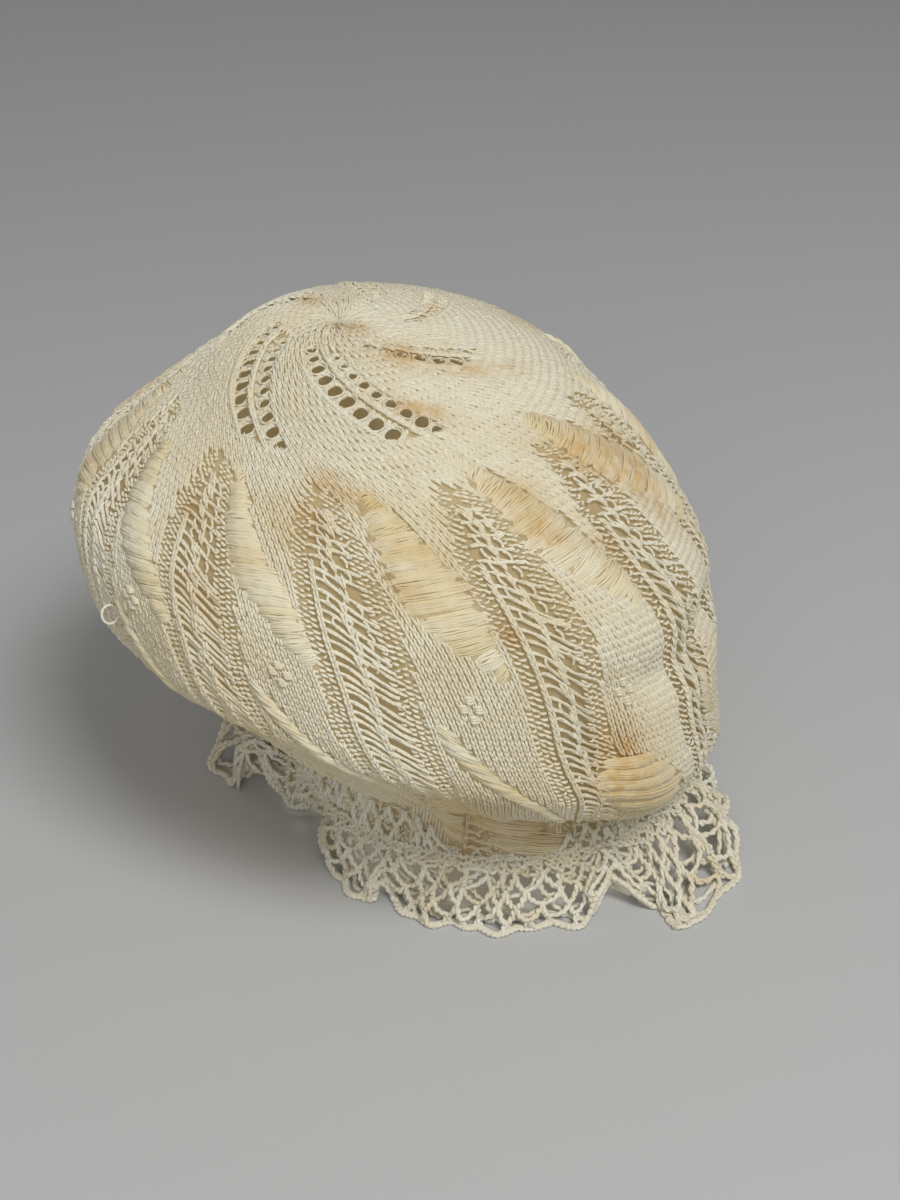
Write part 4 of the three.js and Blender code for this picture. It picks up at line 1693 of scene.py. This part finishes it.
    def lay_rib_chain(self, skein: Skein, number: int) -> None:
        """Lay the chain of stitches that runs down the left of an openwork panel.

        Args:
            skein: Where the chain goes.
            number: The openwork panel's number.
        """
        course = self.form.rows(0.37, 1.18)
        wale = self.openwork_edges(number, course)[0] + 3.9
        row = self.below(course, ROW_PITCH) - course
        width = np.full(len(wale), self.least_width)
        for side in (-1.0, 1.0):
            self.lay_legs(skein, wale, course, width, row, side, 0.1)

    def build_floats(self) -> None:
        """Make the raised bands of long floats, in plump bundles pinched at both ends."""
        skein = Skein("float_strands")
        starts = []
        for row, bands in enumerate(self.bands):
            for panel, band in enumerate(bands):
                climb = FRONT_CLIMB.get((row, panel), FLOAT_CLIMB[row])
                first, last = self.form.length_at(band.start), self.form.length_at(band.end)
                number = round((last - first) / self.float_pitch)
                step = (last - first) / number
                jolt = self.rng.normal(0.0, 0.1, number)
                for course in self.form.course_at(first + (np.arange(number) + 0.5 + jolt) * step):
                    left, right = band.edges(course)
                    middle = (left + right) / 2
                    half = max(float(right - left) / 2, 1.0)
                    starts.append((panel, course, middle - half, middle + half, step, climb))
        panel, course, left, right, pitch, climb = np.array(starts).T
        bundles = len(panel)
        t = np.linspace(0.0, 1.0, self.STRAND_STATIONS)[None, :]
        size = self.rng.normal(1.0, 0.06, (bundles, 1))
        tone = np.clip(self.rng.normal(0.35, 0.25, (bundles, 1)), 0, 1)
        slope = climb[:, None] + self.rng.normal(0.0, 0.3, (bundles, 1))
        middle = (self.strands - 1) / 2
        arch = np.sin(math.pi * t) ** 0.6
        for strand in range(self.strands):
            place = (strand - middle) / middle
            jitter = self.rng.normal(0.0, 1.0, (4, bundles, 1))
            ends = 0.12 * jitter[0]
            inset = 0.3 * place**2
            x = left[:, None] - 0.5 + ends + inset + (right - left + 1.0 - 2 * inset)[:, None] * t
            u = (panel[:, None] + 0.5) * REPEAT_STEP + x
            pinch = 0.84 + 0.34 * np.sin(math.pi * t) ** 0.6
            lateral = place * pitch[:, None] * 0.5 * pinch * size - slope * (t - 0.5)
            lateral = lateral + 0.1 * jitter[1] * np.sin(2 * math.pi * (t + 0.3 * jitter[2]))
            c = self.below(course[:, None], lateral)
            long = np.clip((right - left)[:, None] / 9.0, 0.35, 1.0)
            height = 0.3 + (0.6 + 0.95 * long * (1 - 0.85 * place**2)) * arch + 0.05 * jitter[3]
            points, normals = self.form.place(u, c, height)
            radius = self.strand_radius * (0.7 + 0.3 * arch)
            tint = np.clip(tone + self.rng.normal(0.0, 0.14, (bundles, 1)), 0, 1)
            skein.lay(
                points, normals, radius, radius * 1.1, Section.LOBE,
                **self.marks(u, c, tint + np.zeros_like(u)),
            )
        self.pieces.append(dress(skein, FLOAT_FINISH.make()))

    def build_crown(self) -> None:
        """Make the crown: yarn round each eyelet, the wings' ribs and the gathered centre."""
        skein = Skein("crown_eyelets")
        turn = np.linspace(0.0, 2 * math.pi, 15)
        for margin, lift in self.EYELET_YARNS:
            rings = [eyelet.spot(np.cos(turn), np.sin(turn), margin) for eyelet in self.holes]
            u = np.array([ring[0] for ring in rings])
            c = np.array([ring[1] for ring in rings])
            wave = 0.22 * np.cos(turn * 2 + self.rng.uniform(0, 6, (len(rings), 1)))
            points, normals = self.form.place(u, c, lift + wave)
            tint = self.rng.uniform(0, 0.5, (len(rings), 1)) + np.zeros_like(u)
            skein.lay(points, normals, 0.2, 0.24, Section.ROUND5, **self.marks(u, c, tint))
        self.lay_bars(skein)
        for wing in self.wings:
            self.lay_wing(skein, wing)
        self.lay_spokes(skein)
        self.pieces.append(dress(skein, self.material))

    def lay_spokes(self, skein: Skein) -> None:
        """Lay the ridges that run out from the gathered centre of the crown.

        Args:
            skein: Where the ridges go.
        """
        t = np.linspace(0.0, 1.0, 9)[None, :]
        wale = np.arange(self.spokes)[:, None] * 360.0 / self.spokes
        c = 0.003 + 0.05 * t + self.rng.uniform(0, 0.014, (self.spokes, 1)) * t
        u = wale + 0 * c + self.rng.normal(0, 3, (self.spokes, 1))
        ridge = 1.25 - 1.1 * t**3 + 0.14 * np.cos(t * 22 + wale)
        points, normals = self.form.place(u, c, ridge - pucker(c))
        skein.lay(points, normals, 0.3 + 0.14 * t, 0.5, Section.ROUND6, **self.marks(u, c, 0.3 + 0 * u))

    def lay_bars(self, skein: Skein) -> None:
        """Lay the yarns that cross the wings between one eyelet and the next.

        Args:
            skein: Where the yarns go.
        """
        t = np.linspace(-1.75, 1.75, 9)
        bow = 1 - 0.22 * np.minimum(t * t, 1.4)
        bars = [
            eyelet.spot(t, side * bow, margin)
            for eyelet in self.holes
            for side in (-1.0, 1.0)
            for margin in (0.1, 0.5)
        ]
        u = np.array([bar[0] for bar in bars])
        c = np.array([bar[1] for bar in bars])
        points, normals = self.form.place(u, c, 0.22 + 0.15 * np.cos(3 * t))
        tint = self.rng.uniform(0, 0.5, (len(bars), 1)) + np.zeros_like(u)
        radius = self.yarn_radius
        skein.lay(points, normals, radius, radius, Section.LOBE, **self.marks(u, c, tint))

    def lay_wing(self, skein: Skein, wing: Wing) -> None:
        """Lay a wing's middle rib and the twisted cable down its left side.

        Args:
            skein: Where the stitches and the cable go.
            wing: The wing.
        """
        course = self.form.rows(wing.start - 0.008, wing.end + 0.017, self.wing_row)
        degree = self.form.degree(course)
        row = self.below(course, self.wing_row) - course
        width = self.rib_width / degree
        for side in (-1.0, 1.0):
            self.lay_legs(skein, wing.rib(course), course, width, row, side, 0.3)
        t = np.linspace(0.0, 1.0, 120)[None, :]
        first, last = wing.start + 0.03, wing.end + 0.012
        course = first + (last - first) * t
        degree = self.form.degree(course)
        away = 3.5 - 0.6 * smooth(t, 0.6, 1.0)
        for ply in (0.0, math.pi):
            spin = ply + t * 2 * math.pi * self.cable_turns
            u = wing.left(course) - (away + self.cable_swing * np.cos(spin)) / degree
            points, normals = self.form.place(u, course, 0.8 + 0.36 * np.sin(spin))
            taper = 0.45 + 0.55 * np.sin(math.pi * t) ** 0.4
            size = self.cable_cord * taper * (1 + 0.2 * np.cos(2 * spin))
            skein.lay(points, normals, size, size, Section.ROUND6, **self.marks(u, course, 0.2 + 0 * u))

    def build_small(self) -> None:
        """Make the raised knots of the diamond motif and the loose thread loop at the left."""
        skein = Skein("knots_and_loop")
        for panel in range(REPEATS):
            middle = REPEAT_STEP * (panel + 0.5)
            for beside, course in DIAMOND_KNOTS:
                self.lay_knot(skein, middle + beside, course)
        self.lay_loop(skein)
        self.pieces.append(dress(skein, self.material))

    def lay_loop(self, skein: Skein) -> None:
        """Lay the loose thread loop that stands out from the knitting at the left.

        Args:
            skein: Where the loop goes.
        """
        turn = np.linspace(0.0, 2 * math.pi, 22)[None, :]
        wale, course = self.loop_place
        centre, normal = self.form.place(np.array([wale]), np.array([course]), 2.0)
        outward = normal[0]
        upright = unit(np.array([0.0, 0.4, 1.0]) - outward * (0.4 * outward[1] + outward[2]))
        loop = (
            centre[0]
            + outward * (self.loop_size[0] * MM * np.cos(turn))[..., None]
            + upright * (self.loop_size[1] * MM * np.sin(turn))[..., None]
        )
        aside = np.broadcast_to(np.cross(outward, upright), loop.shape)
        skein.lay(loop, aside, self.loop_cord, self.loop_cord, Section.ROUND8)

    def lay_knot(self, skein: Skein, wale: float, course: float) -> None:
        """Lay one small round knot, as three short fat loops side by side.

        Args:
            skein: Where the knot goes.
            wale: Its middle, in degrees.
            course: Its course.
        """
        t = np.linspace(-1.0, 1.0, 5)[None, :]
        row = float(self.below(course, ROW_PITCH)) - course
        swell = np.sqrt(np.maximum(1 - t * t, 0.04))
        for lift in (-0.42, 0.0, 0.42):
            u = wale + 0.85 * t
            c = course + row * (lift * swell * 1.1) + 0 * u
            points, normals = self.form.place(u, c, 0.7 + 0.75 * swell)
            marks = self.marks(u, c, 0.1 + 0 * u)
            skein.lay(points, normals, 0.34 * swell + 0.05, 0.45 * swell, Section.ROUND6, **marks)


@dataclass
class LaceFrill:
    """The crocheted frill: a net of chained loops, a heavy edge cord and the gathers at its seam."""

    # Where the last row of loops lies across the lace, and the lowest that cords go, in metres
    EDGE_SHARE = 0.985
    CORD_FLOOR = 0.0005
    EDGE_FLOOR = 0.0006

    form: LaceForm
    slot: str = "lace_cotton"
    loops: int = 66
    rows: int = 5
    upper_rows: int = 2
    under_loops: int = 40
    under_rows: int = 4
    under_depth: float = -3.2
    loop_stations: int = 14
    cord: float = 0.48
    swing: float = 0.42
    turns: float = 3.2
    knobs: float = 0.22
    edge_plies: int = 3
    edge_stations: int = 900
    edge_turns: int = 110
    edge_cord: float = 0.58
    edge_swing: float = 0.45
    gather_count: int = 150
    gather_rows: int = 4
    gather_cord: float = 0.42
    seam_stations: int = 500
    seam_turns: int = 90
    pieces: list[bpy.types.Object] = field(default_factory=list)
    rng: np.random.Generator = field(default_factory=lambda: np.random.default_rng(SEED + 1))

    def build(self) -> None:
        """Make the frill's pieces."""
        self.rise = Curve(FRILL_RISE, 1, 360.0)
        material = LACE_FINISH.make()
        net = Skein("lace_net")
        self.lay_net(net, self.loops, self.rows, self.upper_rows, 0.0)
        piece = dress(net, material)
        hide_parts("lace_frill")
        self.pieces.append(piece)
        under = Skein("lace_under_ruffle")
        self.lay_net(under, self.under_loops, self.under_rows, 0, self.under_depth)
        for skein in (under, self.edge(), self.gathers()):
            self.pieces.append(dress(skein, material))

    def tint(self, count: int, stations: int) -> dict[str, np.ndarray]:
        """Draw a tint and a yellowing for each cord.

        Args:
            count: How many cords.
            stations: Points along each.

        Returns:
            The marks by name, at each station.
        """
        tint = np.clip(self.rng.normal(0.3, 0.3, (count, 1)), 0, 1) + np.zeros((count, stations))
        yellow = np.clip(self.rng.normal(-0.2, 0.3, (count, 1)), 0, 0.5) + np.zeros((count, stations))
        return {"tint": tint, "yellow": yellow}

    def share_of(self, at: np.ndarray, row: int, rows: int, upper: int) -> np.ndarray:
        """Find where a row of loops lies across the lace; above the seam it climbs over the skirt.

        Args:
            at: Degrees round the seam.
            row: The row's number, 0 at the seam and less above it.
            rows: Rows of loops from the seam to the edge.
            upper: Rows of loops above the seam.

        Returns:
            The share of the lace's width at each place.
        """
        if row >= 0:
            return np.full(at.shape, row / rows)
        return 0.36 * self.rise(np.mod(at, 360.0)) * row / upper

    def lay_net(self, skein: Skein, loops: int, rows: int, upper: int, depth: float) -> None:
        """Lay the chained loops, each hanging from the row above.

        Args:
            skein: Where the cords go.
            loops: How many loops go round.
            rows: Rows of loops from the seam to the edge.
            upper: Rows of loops above the seam.
            depth: How far the net lies out from the lace's middle at its edge, in millimetres.
        """
        pitch = 360.0 / loops
        t = np.linspace(0.0, 1.0, self.loop_stations)[None, :]
        levels = rows + upper + 1
        shift = self.rng.normal(0.0, 0.2, (levels, loops)) * pitch
        drop = self.rng.normal(0.0, 0.018, (levels, loops))
        number = np.arange(loops)
        after = (number + 1) % loops
        for row in range(-upper, rows):
            odd = row % 2
            level = row + upper
            below = (number + odd) % loops
            start = (number + 0.5 * odd) * pitch + shift[level]
            end = (number + 0.5 * odd + 1) * pitch + shift[level][after]
            low = (number + 0.5 * odd + 0.5) * pitch + shift[level + 1][below]
            loose = 0.0 if level == 0 else 1.0
            left = self.share_of(start, row, rows, upper) + loose * drop[level]
            right = self.share_of(end, row, rows, upper) + loose * drop[level][after]
            bottom = self.share_of(low, row + 1, rows, upper) + drop[level + 1][below]
            if row == rows - 1:
                bottom = np.full(loops, self.EDGE_SHARE)
            bend = np.sin(math.pi * t)
            at = np.where(
                t < 0.5,
                start[:, None] + (low - start)[:, None] * (2 * t) ** 1.25,
                end[:, None] + (low - end)[:, None] * (2 * (1 - t)) ** 1.25,
            )
            side = np.where(t < 0.5, left[:, None], right[:, None])
            share = side + (bottom[:, None] - side) * bend**0.85
            tint = self.tint(loops, t.size)
            phase = self.rng.uniform(0, 6, (loops, 1))
            lift = 0.4 * self.rng.normal(0.0, 1.0, (loops, 1)) * bend
            lift = lift + depth * np.clip(share, 0.0, 1.0) ** 0.7 + self.crumple(at, share)
            for ply in (0.0, math.pi):
                spin = phase + ply + t * 2 * math.pi * self.turns
                height = lift + self.swing * np.sin(spin)
                points, normals = self.form.place(
                    at + self.swing * np.cos(spin), share, height, self.CORD_FLOOR
                )
                knob = self.cord * (1 + self.knobs * np.cos(2 * spin))
                skein.lay(points, normals, knob, knob, Section.ROUND5, **tint)

    @staticmethod
    def crumple(at: np.ndarray, share: np.ndarray) -> np.ndarray:
        """How far the lace's small crumples lie out from its ruffled form, in millimetres."""
        waves = 0.9 * np.sin(at * 0.31 + share * 4.0) + 0.7 * np.sin(at * 0.73 - share * 6.0 + 1.0)
        return waves * smooth(share, 0.05, 0.4)

    def edge(self) -> Skein:
        """Lay the heavy edge cord of three plies, drawn in small scallops.

        Returns:
            The cord.
        """
        skein = Skein("lace_edge")
        t = np.linspace(0.0, 1.0, self.edge_stations)[None, :]
        at = 360.0 * t
        share = self.EDGE_SHARE + 0.012 * np.sin(2 * math.pi * self.loops * t)
        for ply in range(self.edge_plies):
            spin = ply * 2 * math.pi / self.edge_plies + 2 * math.pi * self.edge_turns * t
            height = self.edge_swing * np.sin(spin) + self.crumple(at, share)
            points, normals = self.form.place(
                at + self.edge_swing * np.cos(spin), share, height, self.EDGE_FLOOR
            )
            tint = {"tint": 0.25 + 0.25 * np.sin(at * 0.3) ** 2}
            skein.lay(points, normals, self.edge_cord, self.edge_cord, Section.ROUND5, **tint)
        return skein

    def gathers(self) -> Skein:
        """Lay the close stitches that gather the lace on to the knitting.

        Returns:
            The stitches.
        """
        skein = Skein("lace_gathers")
        count = self.gather_count
        number = np.arange(count)[:, None]
        t = np.linspace(0.0, 1.0, 5)[None, :]
        hump = np.sin(math.pi * t)
        for row in range(self.gather_rows):
            jitter = self.rng.normal(0.0, 1.0, (4, count, 1))
            at = (number + 0.5 * (row % 2) + 0.2 * jitter[0] + 0.85 * (t - 0.5)) * 360.0 / count
            share = -0.03 + 0.055 * row + 0.012 * jitter[1] + (0.05 + 0.02 * jitter[2]) * hump
            lift = 0.5 + 0.45 * hump + 0.15 * jitter[3]
            points, normals = self.form.place(at, share, lift, self.CORD_FLOOR)
            marks = self.tint(count, t.size)
            skein.lay(points, normals, self.gather_cord, self.gather_cord, Section.ROUND5, **marks)
        t = np.linspace(0.0, 1.0, self.seam_stations)[None, :]
        for ply in (0.0, math.pi):
            spin = ply + 2 * math.pi * self.seam_turns * t
            share, lift = 0.015 + 0.012 * np.cos(spin), 0.5 + 0.3 * np.sin(spin)
            points, normals = self.form.place(360.0 * t, share, lift)
            marks = {"tint": 0.4 + 0 * t}
            skein.lay(points, normals, self.gather_cord, self.gather_cord, Section.ROUND5, **marks)
        return skein


@dataclass(frozen=True)
class SoftLight:
    """A soft square light that faces the cap."""

    name: str
    place: Triple
    size: float
    power: float
    colour: Triple = (1.0, 1.0, 1.0)
    aim_height: float = 0.05

    def build(self) -> None:
        """Hang the light and turn it to the cap."""
        data = bpy.data.lights.new(self.name, "AREA")
        data.size = self.size
        data.energy = self.power
        data.color = self.colour
        lamp = bpy.data.objects.new(self.name, data)
        bpy.context.scene.collection.objects.link(lamp)
        lamp.location = self.place
        away = np.array(self.place) - np.array([0.0, 0.0, self.aim_height])
        flat = math.hypot(away[0], away[1])
        lamp.rotation_euler = (math.atan2(flat, away[2]), 0.0, math.atan2(away[0], -away[1]))


@dataclass(frozen=True)
class Studio:
    """The pale floor, soft lights and the camera at the photograph's angle."""

    lights: tuple[SoftLight, ...] = (
        SoftLight("key", (0.3, -0.6, 0.98), 0.38, 8.2, (1.0, 0.99, 0.97)),
        SoftLight("front", (-0.15, -1.0, 0.55), 0.6, 2.0),
    )
    glow_place: Triple = (-0.008, 0.003, 0.07)
    glow_power: float = 0.055
    glow_radius: float = 0.02
    glow_colour: Triple = (1.0, 0.93, 0.78)
    sky_colour: Triple = (1.0, 0.985, 0.95)
    sky_power: float = 0.25
    camera_place: Triple = (0.0068, -0.33825, 0.2655)
    look_down: float = 32.0
    lens: float = 54.14
    sensor: float = 36.0
    floor_size: float = 6.0
    floor_colour: Triple = (0.5, 0.51, 0.52)
    floor_roughness: float = 0.8

    def build(self) -> None:
        """Make the floor, the lights, the sky and the camera."""
        self.floor()
        for light in self.lights:
            light.build()
        self.glow()
        world = bpy.data.worlds.new("soft_sky")
        world.use_nodes = True
        sky = world.node_tree.nodes["Background"]
        sky.inputs["Color"].default_value = (*self.sky_colour, 1.0)
        sky.inputs["Strength"].default_value = self.sky_power
        bpy.context.scene.world = world
        bpy.context.scene.view_settings.view_transform = "Standard"
        data = bpy.data.cameras.new("camera")
        data.sensor_width = self.sensor
        data.lens = self.lens
        data.clip_start = 0.01
        camera = bpy.data.objects.new("camera", data)
        camera.location = self.camera_place
        camera.rotation_euler = (math.radians(90.0 - self.look_down), 0.0, 0.0)
        bpy.context.scene.collection.objects.link(camera)
        bpy.context.scene.camera = camera

    def floor(self) -> None:
        """Make the floor under the cap."""
        half = self.floor_size / 2
        mesh = bpy.data.meshes.new("floor")
        corners = [(-half, -half, 0.0), (half, -half, 0.0), (half, half, 0.0), (-half, half, 0.0)]
        mesh.from_pydata(corners, [], [(0, 1, 2, 3)])
        floor = bpy.data.objects.new("floor", mesh)
        bpy.context.scene.collection.objects.link(floor)
        graph = Graph("pale_floor")
        shader = graph.surface({"Base Color": self.floor_colour, "Roughness": self.floor_roughness})
        graph.node("ShaderNodeOutputMaterial", {}, {"Surface": shader})
        mesh.materials.append(graph.material)

    def glow(self) -> None:
        """Lift the shade inside the hollow, as light that comes through thin cotton does."""
        data = bpy.data.lights.new("hollow_glow", "POINT")
        data.energy = self.glow_power
        data.shadow_soft_size = self.glow_radius
        data.color = self.glow_colour
        lamp = bpy.data.objects.new("hollow_glow", data)
        lamp.location = self.glow_place
        lamp.visible_camera = False
        bpy.context.scene.collection.objects.link(lamp)


def main() -> None:
    """Build the cap and its studio."""
    logging.basicConfig(level=logging.INFO, format="%(name)s %(message)s")
    form = KnitForm()
    body = CapBody(form, StainChart(form))
    body.build()
    lace = LaceFrill(LaceForm(form))
    lace.build()
    Studio().build()
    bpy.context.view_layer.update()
    for piece in body.pieces + lace.pieces:
        log.info("%s rides on the root body", piece.name)


if __name__ == "__main__":
    main()
